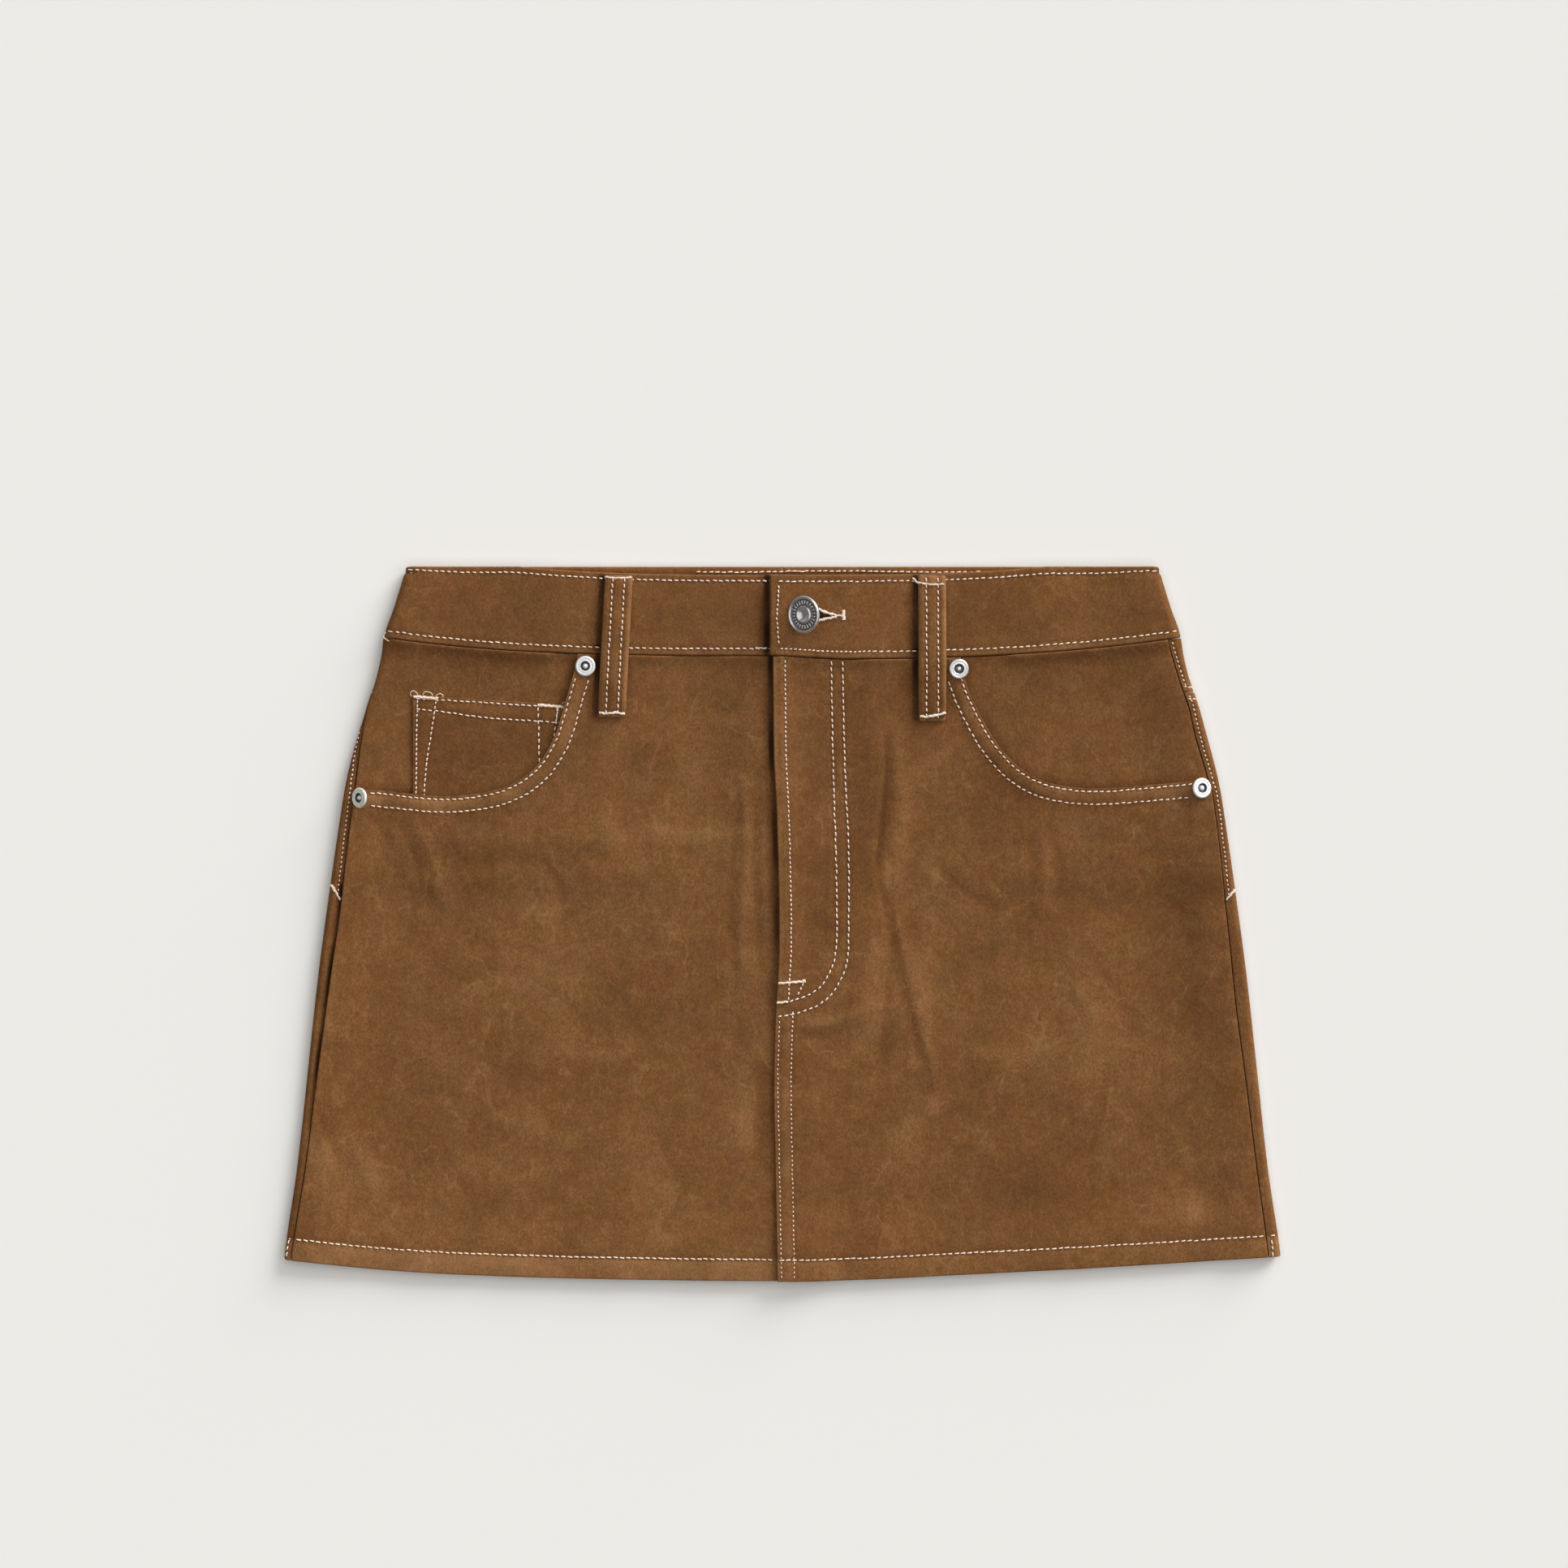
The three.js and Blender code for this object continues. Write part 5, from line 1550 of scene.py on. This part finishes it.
def sew_all():
    """Threads of every planned line, in two pieces so that neither is too heavy."""
    rng = np.random.default_rng(11)
    half = len(SEAMS) // 2
    for name, seams in (("stitches_a", SEAMS[:half]), ("stitches_b", SEAMS[half:])):
        parts = []
        for surface, line, pitch, bow, above, fill in seams:
            starts, ends = walk(line, pitch, rng, fill)
            parts.append(laid(surface, starts, ends, above, bow, THREAD_RADIUS))
        finish(joined(name, parts), THREAD)
    parts = [tack_threads(surface, start, end, width, rng) for surface, start, end, width in BARS]
    for surface, points, rise in FRAYS:
        flat = spline(points, 26)
        arch = np.sin(np.linspace(0, math.pi, len(flat)))
        path = surface(flat[:, 0], flat[:, 1], 0.3)
        path[:, 2] += rise * (0.3 + 0.4 * arch)
        parts.append(tube(path, 0.2))
    finish(joined("bar_tacks", parts), THREAD)


# Belt loops

class Loop:
    """A folded strip bowed over the waist seam between its bar tacks."""

    def __init__(self, name, side_name, top, bottom):
        self.name = name
        self.side_name = side_name
        self.top = top
        self.bottom = bottom

    def place(self, y):
        t = np.clip((self.top[1] - y) / (self.top[1] - self.bottom[1]), 0, 1)
        return t, lerp(self.top[0], self.bottom[0], t)

    def rest(self, x, y):
        """Height of what the loop lies on."""
        band_top = front_middle(BAND, x, y) + BAND_PLY / 2
        lift = right_front_lift if self.side_name == "right" else left_front_lift
        places = [x - LOOP_WIDTH / 2, x, x + LOOP_WIDTH / 2]
        tops = [front_middle(SKIN, at, y) + lift(at, y) for at in places]
        panel_top = np.max(tops, axis=0) + PLY / 2
        seam_y = band_bottom_y(self.side_name, x)
        return lerp(band_top, panel_top, ease((seam_y - 1 - y) / LOOP_DROP_RUN))

    def under(self, y):
        t, x = self.place(y)
        return self.rest(x, y) + SEAM_GAP + LOOP_BULGE * np.sin(math.pi * t) ** LOOP_BOW

    def at(self, u, y, above):
        """Points over the strip; u is the way across it from its middle."""
        u, y = np.broadcast_arrays(np.asarray(u, float), np.asarray(y, float))
        _, x = self.place(y)
        roll = np.clip((np.abs(u) - (LOOP_WIDTH / 2 - LOOP_ROLL)) / LOOP_ROLL, 0, 1)
        drop = 1.7 * (1 - np.sqrt(1 - roll**2))
        press = 0.55 * np.exp(-(((np.abs(u) - LOOP_NEEDLE) / 1.0) ** 2))
        pucker = 0.1 * np.sin(y * 1.9 + u) * np.exp(-np.abs(np.abs(u) - LOOP_NEEDLE) / 1.6)
        crown = 0.35 * np.cos(u / LOOP_WIDTH * math.pi) + 0.18 * waves(x + u, y, 21, 18)
        tacks = 0
        for end in (self.top[1] - 1.2, self.bottom[1] + 1.6):
            tacks = tacks + 0.7 * np.exp(-(((y - end) / 1.3) ** 2))
        z = self.under(y) + LOOP_PLY - 0.2 - drop - press + pucker + crown - tacks + above
        return np.stack([x + u, y, z], axis=-1)


LOOPS = [
    Loop("belt_loop_right", "right", (-80.4, 171.6), (-84, 101.8)),
    Loop("belt_loop_left", "left", (73.6, 171.6), (73.8, 99.8)),
]


# Bar tacks of the front loops, as broken lines of (u, y) with their width
LOOP_TACKS = {
    "right": [([(-6.9, 170.8), (-1.4, 170.2), (6.4, 170.5)], 1.0),
              ([(-6.2, 104.0), (-2.0, 103.6), (2.2, 104.1), (6.4, 103.4)], 1.3)],
    "left": [([(-9.6, 170.4), (-6.6, 167.6)], 1.0), ([(-6.6, 167.8), (0.4, 166.9), (5.8, 167.2)], 1.1),
             ([(-6.0, 102.2), (-2.4, 102.0), (1.8, 102.7), (6.6, 104.0)], 1.3)],
}


def plan_loops():
    for loop in LOOPS:
        ys = np.linspace(loop.top[1] - 0.8, loop.bottom[1] + 1.0, 20)
        for u in (-LOOP_NEEDLE, LOOP_NEEDLE):
            SEAMS.append((loop.at, pairs(np.full(len(ys), u), ys), 3.0, 0.32, 0.1, 0.8))
        side = SIDE[loop.side_name]
        # Painted shadow of the loop: darker strips on the band and panel to its left.
        shade_x = (loop.top[0] - LOOP_WIDTH / 2 - 1.2, loop.bottom[0] - LOOP_WIDTH / 2 - 1.2)
        shade = [(side * shade_x[0], loop.top[1] - 1), (side * shade_x[1], loop.bottom[1] + 2)]
        for key in ("band_", "front_"):
            PIECES[key + loop.side_name].strip(shade, 1.7, -0.75)
            PIECES[key + loop.side_name].strip(shade, 4.0, -0.25)
        for points, width in LOOP_TACKS[loop.side_name]:
            for start, end in zip(points[:-1], points[1:]):
                bar_tack(loop.at, start, end, width)


def strip_mesh(name, rows, tones):
    """Closed strip from rows of section points, every row with the same count."""
    rows = np.asarray(rows)
    count, around = rows.shape[:2]
    index = np.arange(count * around).reshape(count, around)
    following = np.roll(index, -1, axis=1)
    faces = np.stack([index[:-1], index[1:], following[1:], following[:-1]], axis=-1).reshape(-1, 4)
    caps = []
    half = around // 2
    for row, flip in ((index[0], False), (index[-1], True)):
        for k in range(half - 1):
            quad = [row[k], row[k + 1], row[around - 2 - k], row[around - 1 - k]]
            caps.append(quad[::-1] if flip else quad)
    obj = make_mesh(name, rows.reshape(-1, 3), np.vstack([faces, np.array(caps)]), np.ravel(tones))
    face_out(obj)
    return obj


def build_front_loops():
    across = np.sin(np.linspace(-math.pi / 2, math.pi / 2, 27))
    for loop, node in zip(LOOPS, ("belt_loop_front_right", "belt_loop_front_left")):
        length = loop.top[1] - loop.bottom[1]
        t, _ = stations(length, 0.9)
        rows, tones = [], []
        for y in lerp(loop.top[1], loop.bottom[1], t):
            edge = min(loop.top[1] - y, y - loop.bottom[1])
            bend = LOOP_CORNER[loop.side_name][0 if y > 130 else 1]
            corner = bend - math.sqrt(bend**2 - max(0.0, bend - edge) ** 2)
            u = across * (LOOP_WIDTH / 2 - corner)
            high = loop.at(u, np.full(len(u), y), 0)
            low = high.copy()
            low[:, 2] = loop.under(y)
            squash = math.sqrt(1 - (1 - min(1.0, edge / 0.9)) ** 2)
            middle = (high[:, 2] + low[:, 2]) / 2
            high[:, 2] = middle + (high[:, 2] - middle) * max(0.12, squash)
            low[:, 2] = middle + (low[:, 2] - middle) * max(0.12, squash)
            rows.append(np.vstack([high, low[::-1]]))
            worn = 0.5 * ease((np.abs(u) - 4.6) / 1.8) + 0.08
            sewn = np.exp(-(((np.abs(u) - LOOP_NEEDLE) / 0.8) ** 2))
            worn = worn + 0.6 * (1 - ease(edge / 2.5)) - 0.3 * sewn
            # The lower face is painted darker as shade, which darkens the loop's sides towards the band.
            tones.append(np.concatenate([worn, np.full(len(u), -0.4)]))
        obj = strip_mesh(loop.name, rows, tones)
        finish(obj, SUEDES["loops"], node)


def build_back_loops():
    across = np.sin(np.linspace(-math.pi / 2, math.pi / 2, 19)) * LOOP_WIDTH / 2
    for name, x, node in (("back_loop_right", -BACK_LOOP_X, "belt_loop_back_right"),
                          ("back_loop_centre", 0, "belt_loop_back_centre"),
                          ("back_loop_left", BACK_LOOP_X, "belt_loop_back_left")):
        t, thick = stations(BACK_LOOP_LENGTH, 1.5)
        rows, tones = [], []
        for share, y in zip(thick, BACK_LOOP_TOP_Y - t * BACK_LOOP_LENGTH):
            half = BACK_LOOP_PLY / 2
            roll = np.sqrt(np.clip(1 - (np.abs(across) / (LOOP_WIDTH / 2)) ** 10, 0.02, 1))
            press = 0.3 * np.exp(-(((np.abs(across) - LOOP_NEEDLE) / 0.8) ** 2))
            size = half * roll * max(0.1, share)
            high = np.stack([x + across, np.full(len(across), y), half + size], axis=-1)
            low = np.stack([x + across, np.full(len(across), y), half - size + press * share], axis=-1)
            rows.append(np.vstack([high, low[::-1]]))
            tones.append(np.concatenate([0.3 * (1 - roll), 0.3 * (1 - roll) - press]))
        obj = strip_mesh(name, rows, tones)
        finish(obj, SUEDES["loops"], node)

        def surface(u, yy, above, x=x):
            u, yy = np.broadcast_arrays(np.asarray(u, float), np.asarray(yy, float))
            return np.stack([x + u, yy, 0.3 - above + 0 * u], axis=-1)

        ys = np.linspace(BACK_LOOP_TOP_Y - 1, BACK_LOOP_TOP_Y - BACK_LOOP_LENGTH + 1, 20)
        for u in (-LOOP_NEEDLE, LOOP_NEEDLE):
            SEAMS.append((surface, pairs(np.full(len(ys), u), ys), 3.0, 0.05, -0.15, 0.8))


# Fly shield and zip, behind the overlapping front

def build_fly_parts():
    def strip_grid(x0, x1, bottom_y):
        a, thick_a = stations(x1 - x0, 1.5)
        b, thick_b = stations(165, 2.0)
        out = lerp(x0, x1, a)[None] * np.ones((len(b), 1))
        top = band_bottom_y("right", out) - SEAM_GAP
        return np.stack([out, lerp(top, bottom_y, b[:, None])], axis=-1), thick_b[:, None] * thick_a[None]

    shield = Piece("shield", SKIN, "left", no_lift, 0)
    grid, thick = strip_grid(*SHIELD_X, FLY_BOTTOM_Y + 1)
    finish(make_wall(shield, grid, thick), SUEDES["facing"], "fly_shield")
    tape = Piece("tape", SKIN, "left", lambda x, y: LAYER + 0 * x, 0)
    grid, thick = strip_grid(*ZIP_X, ZIP_BOTTOM_Y)
    finish(make_wall(tape, grid, thick), TAPE, "fly_zip")
    parts = []
    for k, y in enumerate(np.arange(ZIP_BOTTOM_Y + 6, 126, 1.3)):
        x = 14 + (0.6 if k % 2 else -0.6)
        ends = tape.at(np.linspace(x - 1.1, x + 1.1, 5), np.full(5, y), -0.15)
        parts.append(tube(ends, 0.35))
    finish(joined("zip_teeth", parts), NICKEL, None)


# Metal

def lathe(name, profile, segments, place, floor_z=None):
    """Turned piece from rows of (radius, height, material), moved to its place."""
    rows = [r for r in profile if r[0] > 0]
    angle = np.linspace(0, 2 * math.pi, segments, endpoint=False)
    rings = np.array([[(r * math.cos(t), r * math.sin(t), z) for t in angle] for r, z, _ in rows])
    points = np.vstack([rings.reshape(-1, 3), [(0, 0, profile[0][1]), (0, 0, profile[-1][1])]])
    index = np.arange(len(rows) * segments).reshape(len(rows), segments)
    following = np.roll(index, -1, axis=1)
    faces = np.stack([index[:-1], following[:-1], following[1:], index[1:]], axis=-1).reshape(-1, 4)
    looks = np.repeat([r[2] for r in rows[1:]], segments)
    low, high = len(points) - 2, len(points) - 1
    caps = [(low, following[0][k], index[0][k]) for k in range(segments)]
    caps += [(high, index[-1][k], following[-1][k]) for k in range(segments)]
    points = np.array([place @ Vector(p) for p in points])
    if floor_z is not None:
        points[:, 2] = np.maximum(points[:, 2], floor_z)
    mesh = bpy.data.meshes.new(name)
    mesh.from_pydata((points * MM).tolist(), [], faces.tolist() + caps)
    mesh.polygons.foreach_set("use_smooth", np.ones(len(mesh.polygons), bool))
    mesh.polygons.foreach_set("material_index", np.concatenate([looks, np.full(len(caps), profile[-1][2])]))
    mesh.update()
    return add_object(name, mesh)


def ticks(count, inner, outer, width, low, high, place):
    """Ring of small raised bars, as parts of points and faces."""
    parts = []
    faces = np.array([(0, 1, 2, 3), (7, 6, 5, 4), (0, 4, 5, 1), (1, 5, 6, 2), (2, 6, 7, 3), (3, 7, 4, 0)])
    for k in range(count):
        turn = Matrix.Rotation(2 * math.pi * k / count, 4, "Z")
        corners = []
        for z, shrink in ((low, 1.0), (high, 0.6)):
            for r, side in ((inner, -1), (outer, -1), (outer, 1), (inner, 1)):
                middle = (inner + outer) / 2
                radius = middle + (r - middle) * (0.6 + 0.4 * shrink)
                corners.append(place @ turn @ Vector((radius, side * width / 2 * shrink, z)))
        parts.append((np.array(corners), faces[:, ::-1]))
    return parts


BUTTON = {"x": 10, "y": 151.9, "tilt": 36, "lean": 6.6}
BUTTON_PROFILE = [
    # radius, height, material
    (0, -14, 0), (2.2, -14, 0), (2.2, -2.6, 0), (6.4, -1.9, 0), (8.6, -1.8, 0), (9.05, -1.5, 0),
    (9.2, -1.0, 0), (9.2, -0.5, 0), (9.05, -0.15, 0), (8.8, 0.05, 0), (8.5, 0.1, 0), (8.2, 0.02, 0),
    (8.0, -0.2, 0), (7.85, -0.5, 0), (7.7, -0.62, 1), (6.0, -0.62, 1), (4.5, -0.62, 1), (4.35, -0.5, 1),
    (4.2, -0.2, 0), (4.0, 0.05, 0), (3.75, 0.15, 0), (3.5, 0.1, 0), (3.2, -0.1, 0), (2.9, -0.45, 0),
    (2.4, -0.95, 0), (1.7, -1.3, 0), (0.9, -1.45, 0), (0, -1.5, 0),
]
RIVET_PROFILE = [
    (0, 0, 0), (4.4, 0, 0), (4.9, 0.2, 0), (5.05, 0.5, 0), (4.95, 0.85, 0), (4.7, 1.15, 0),
    (4.4, 1.32, 0), (4.1, 1.38, 0), (3.8, 1.28, 0), (3.65, 1.15, 0), (3.4, 1.18, 0), (3.0, 1.38, 0),
    (2.7, 1.42, 0), (2.4, 1.3, 0), (2.15, 0.9, 1), (2.0, 0.62, 1), (1.3, 0.55, 1), (1.15, 0.75, 0),
    (1.0, 1.15, 0), (0.75, 1.38, 0), (0.4, 1.48, 0), (0, 1.5, 0),
]
# The rivets wear different lit copies of the nickel, which paint the highlight each one shows.
RIVETS = [
    # name, side, x, y, tilt, metal
    ("rivet_right_top", "right", -96.8, 127, 8, NICKEL_PAINTED_HIGHLIGHT),
    ("rivet_left_top", "left", 86.8, 125.6, -6, NICKEL),
    ("rivet_right_corner", "right", -207.6, 62.2, 40, NICKEL_WARM_PAINTED_HIGHLIGHT),
    ("rivet_left_corner", "left", 206.2, 67, 20, NICKEL_PAINTED_HIGHLIGHT),
]
RIVET_RADII = (0, 2.4, 4.6)
RIVET_SINK = 0.25


def build_button():
    tilt = math.radians(BUTTON["tilt"])
    low = 8.7 * math.sin(tilt) + 1.7 * math.cos(tilt)
    band_top = float(front_middle(BAND, BUTTON["x"], BUTTON["y"])) + BAND_PLY / 2
    centre_z = band_top + BAND_LAYER + SEAM_GAP + low
    place = Matrix.Translation((BUTTON["x"], BUTTON["y"], centre_z))
    place = place @ Matrix.Rotation(math.radians(BUTTON["lean"]), 4, "Z")
    place = place @ Matrix.Rotation(-tilt, 4, "Y")
    obj = lathe("button", BUTTON_PROFILE, 72, place, band_top + SEAM_GAP)
    finish(obj, NICKEL, "waist_button")
    obj.data.materials.append(NICKEL_DARK)
    marks = ticks(24, 5.0, 7.2, 0.8, -0.64, -0.26, place)
    finish(joined("button_ticks", marks), NICKEL, None)


def build_rivets():
    for name, side_name, x, y, tilt, metal in RIVETS:
        angle = math.radians(tilt)
        turns = np.linspace(0, 2 * math.pi, 16, endpoint=False)
        seat = -100.0
        for radius in RIVET_RADII:
            outs = abs(x) + radius * np.cos(turns) * math.cos(angle)
            outs = np.minimum(outs, seam_at(side_name, y) - 0.5)
            tops = PIECES["front_" + side_name].at(outs, y + radius * np.sin(turns), 0.05)[..., 2]
            cap = -(outs - abs(x)) * math.tan(angle) * (1 - RIVET_SINK)
            seat = max(seat, float(np.max(tops - cap)))
        place = Matrix.Translation((x, y, seat)) @ Matrix.Rotation(math.copysign(angle, x), 4, "Y")
        obj = lathe(name + "_cap", RIVET_PROFILE, 40, place)
        finish(obj, metal, name)
        # The recess of each rivet takes the painted shade.
        obj.data.materials.append(NICKEL_PAINTED_SHADE)
        beads = ticks(22, 3.45, 3.75, 0.3, 1.1, 1.34, place)
        finish(joined(name + "_beads", beads), NICKEL, None)


# Buttonhole

HOLE_HEIGHTS = (6.9, 22)
HOLE_OUTLINE = {"radius": 3.0, "from": 14.9, "to": 17.1, "y": 152.4, "tip_x": 25.6, "tip_y": 151.5}


def cut_buttonhole(band):
    """Cut the drop-shaped slit through the overlap."""
    row = HOLE_OUTLINE
    angles = np.linspace(math.pi / 3, 2 * math.pi - math.pi / 3, 24)
    rim = [(row["from"] if math.cos(t) < 0 else row["to"], t) for t in angles]
    outline = [(x + row["radius"] * math.cos(t), row["y"] + row["radius"] * math.sin(t)) for x, t in rim]
    outline.append((row["tip_x"], row["tip_y"]))
    count = len(outline)
    points = [(x * MM, y * MM, z * MM) for z in HOLE_HEIGHTS for x, y in outline]
    faces = [tuple(range(count))[::-1], tuple(range(count, 2 * count))]
    faces += [(k, (k + 1) % count, count + (k + 1) % count, count + k) for k in range(count)]
    mesh = bpy.data.meshes.new("hole")
    mesh.from_pydata(points, [], faces)
    cutter = add_object("hole", mesh)
    face_out(cutter)
    modifier = band.modifiers.new("hole", "BOOLEAN")
    modifier.operation = "DIFFERENCE"
    modifier.solver = "EXACT"
    modifier.object = cutter
    bpy.context.view_layer.objects.active = band
    bpy.ops.object.modifier_apply(modifier=modifier.name)
    bpy.data.objects.remove(cutter)


# Purl of the buttonhole: start, end and width of each run
HOLE_PURL = [
    ((17.4, 155.2), (21.4, 153.2), 1.5), ((21.2, 153.3), (26.6, 151.9), 1.3),
    ((17.4, 149.2), (21.4, 150.2), 1.5), ((21.2, 150.1), (26.6, 151.2), 1.3),
    ((29.9, 154.4), (30.1, 149.6), 2.0), ((26.2, 151.6), (29.4, 151.8), 1.2),
]


def plan_buttonhole():
    for start, end, width in HOLE_PURL:
        bar_tack(PIECES["band_left"].at, start, end, width)


# Assembly

for plan in (plan_waistband, plan_fly, plan_pockets, plan_coin, plan_sides, plan_hem, plan_back,
             plan_loops, plan_buttonhole):
    plan()

build_front("front_right", UNDER_EDGE, "front_panel_right")
build_front("front_left", FLY_EDGE, "front_panel_left")
build_facing("facing_right", "pocket_facing_right")
build_facing("facing_left", "pocket_facing_left")
build_coin()
build_yoke("yoke_right", "back_yoke_right")
build_yoke("yoke_left", "back_yoke_left")
build_back("back_right", "back_panel_right")
build_back("back_left", "back_panel_left")
build_band("band_right", UNDERLAP_X, "waistband_right")
cut_buttonhole(build_band("band_left", OVERLAP_X, "waistband_left"))
build_fly_parts()
build_front_loops()
build_back_loops()
build_button()
build_rivets()
sew_all()


# Floor, light and camera

FLOOR_HALF = 6.0
FLOOR_DROP = 0.2


def build_stage():
    size = FLOOR_HALF
    mesh = bpy.data.meshes.new("floor")
    corners = [(-size, -size, 0), (size, -size, 0), (size, size, 0), (-size, size, 0)]
    mesh.from_pydata(corners, [], [(0, 1, 2, 3)])
    floor = add_object("floor", mesh)
    floor.location.z = -FLOOR_DROP * MM
    material, _, shader = new_material("floor_paint")
    shader.inputs["Base Color"].default_value = (*linear(234, 232, 228), 1)
    shader.inputs["Roughness"].default_value = 0.9
    shader.inputs["Specular IOR Level"].default_value = 0.0
    floor.data.materials.append(material)


LIGHTS = [
    # name, strength, angle across, height and direction it comes from, in degrees
    ("key", 2.07, 103.8, 74.7, 40.3),
    ("low", 3.86, 36.0, 16.4, 50.1),
]
SKY_STRENGTH = 0.04


def build_light():
    """A wide soft light from above, a lower one from the upper right, and a little from all round."""
    for name, strength, across, high_angle, from_angle in LIGHTS:
        sun = bpy.data.lights.new(name, "SUN")
        sun.energy = strength
        sun.angle = math.radians(across)
        high, turn = math.radians(high_angle), math.radians(from_angle)
        source = Vector((math.cos(high) * math.cos(turn), math.cos(high) * math.sin(turn), math.sin(high)))
        add_object(name, sun).rotation_euler = source.to_track_quat("Z", "Y").to_euler()
    world = bpy.data.worlds.new("studio")
    world.use_nodes = True
    background = world.node_tree.nodes["Background"]
    background.inputs[0].default_value = (1.0, 1.0, 1.0, 1)
    background.inputs[1].default_value = SKY_STRENGTH
    bpy.context.scene.world = world


FRAME_WIDTH = 772.8
CAMERA_LENS = 90
SENSOR_WIDTH = 36
VIEW_CENTRE = (0.8, 69.0)
CLOTH_TOP = 6.0


def build_camera():
    data = bpy.data.cameras.new("camera")
    data.lens = CAMERA_LENS
    data.sensor_width = SENSOR_WIDTH
    camera = add_object("camera", data)
    distance = FRAME_WIDTH * CAMERA_LENS / SENSOR_WIDTH
    camera.location = (VIEW_CENTRE[0] * MM, VIEW_CENTRE[1] * MM, (distance + CLOTH_TOP) * MM)
    camera.rotation_euler = (0, 0, 0)
    bpy.context.scene.camera = camera


build_stage()
build_light()
build_camera()
bpy.context.scene.view_settings.view_transform = "Standard"
bpy.context.scene.view_settings.look = "None"
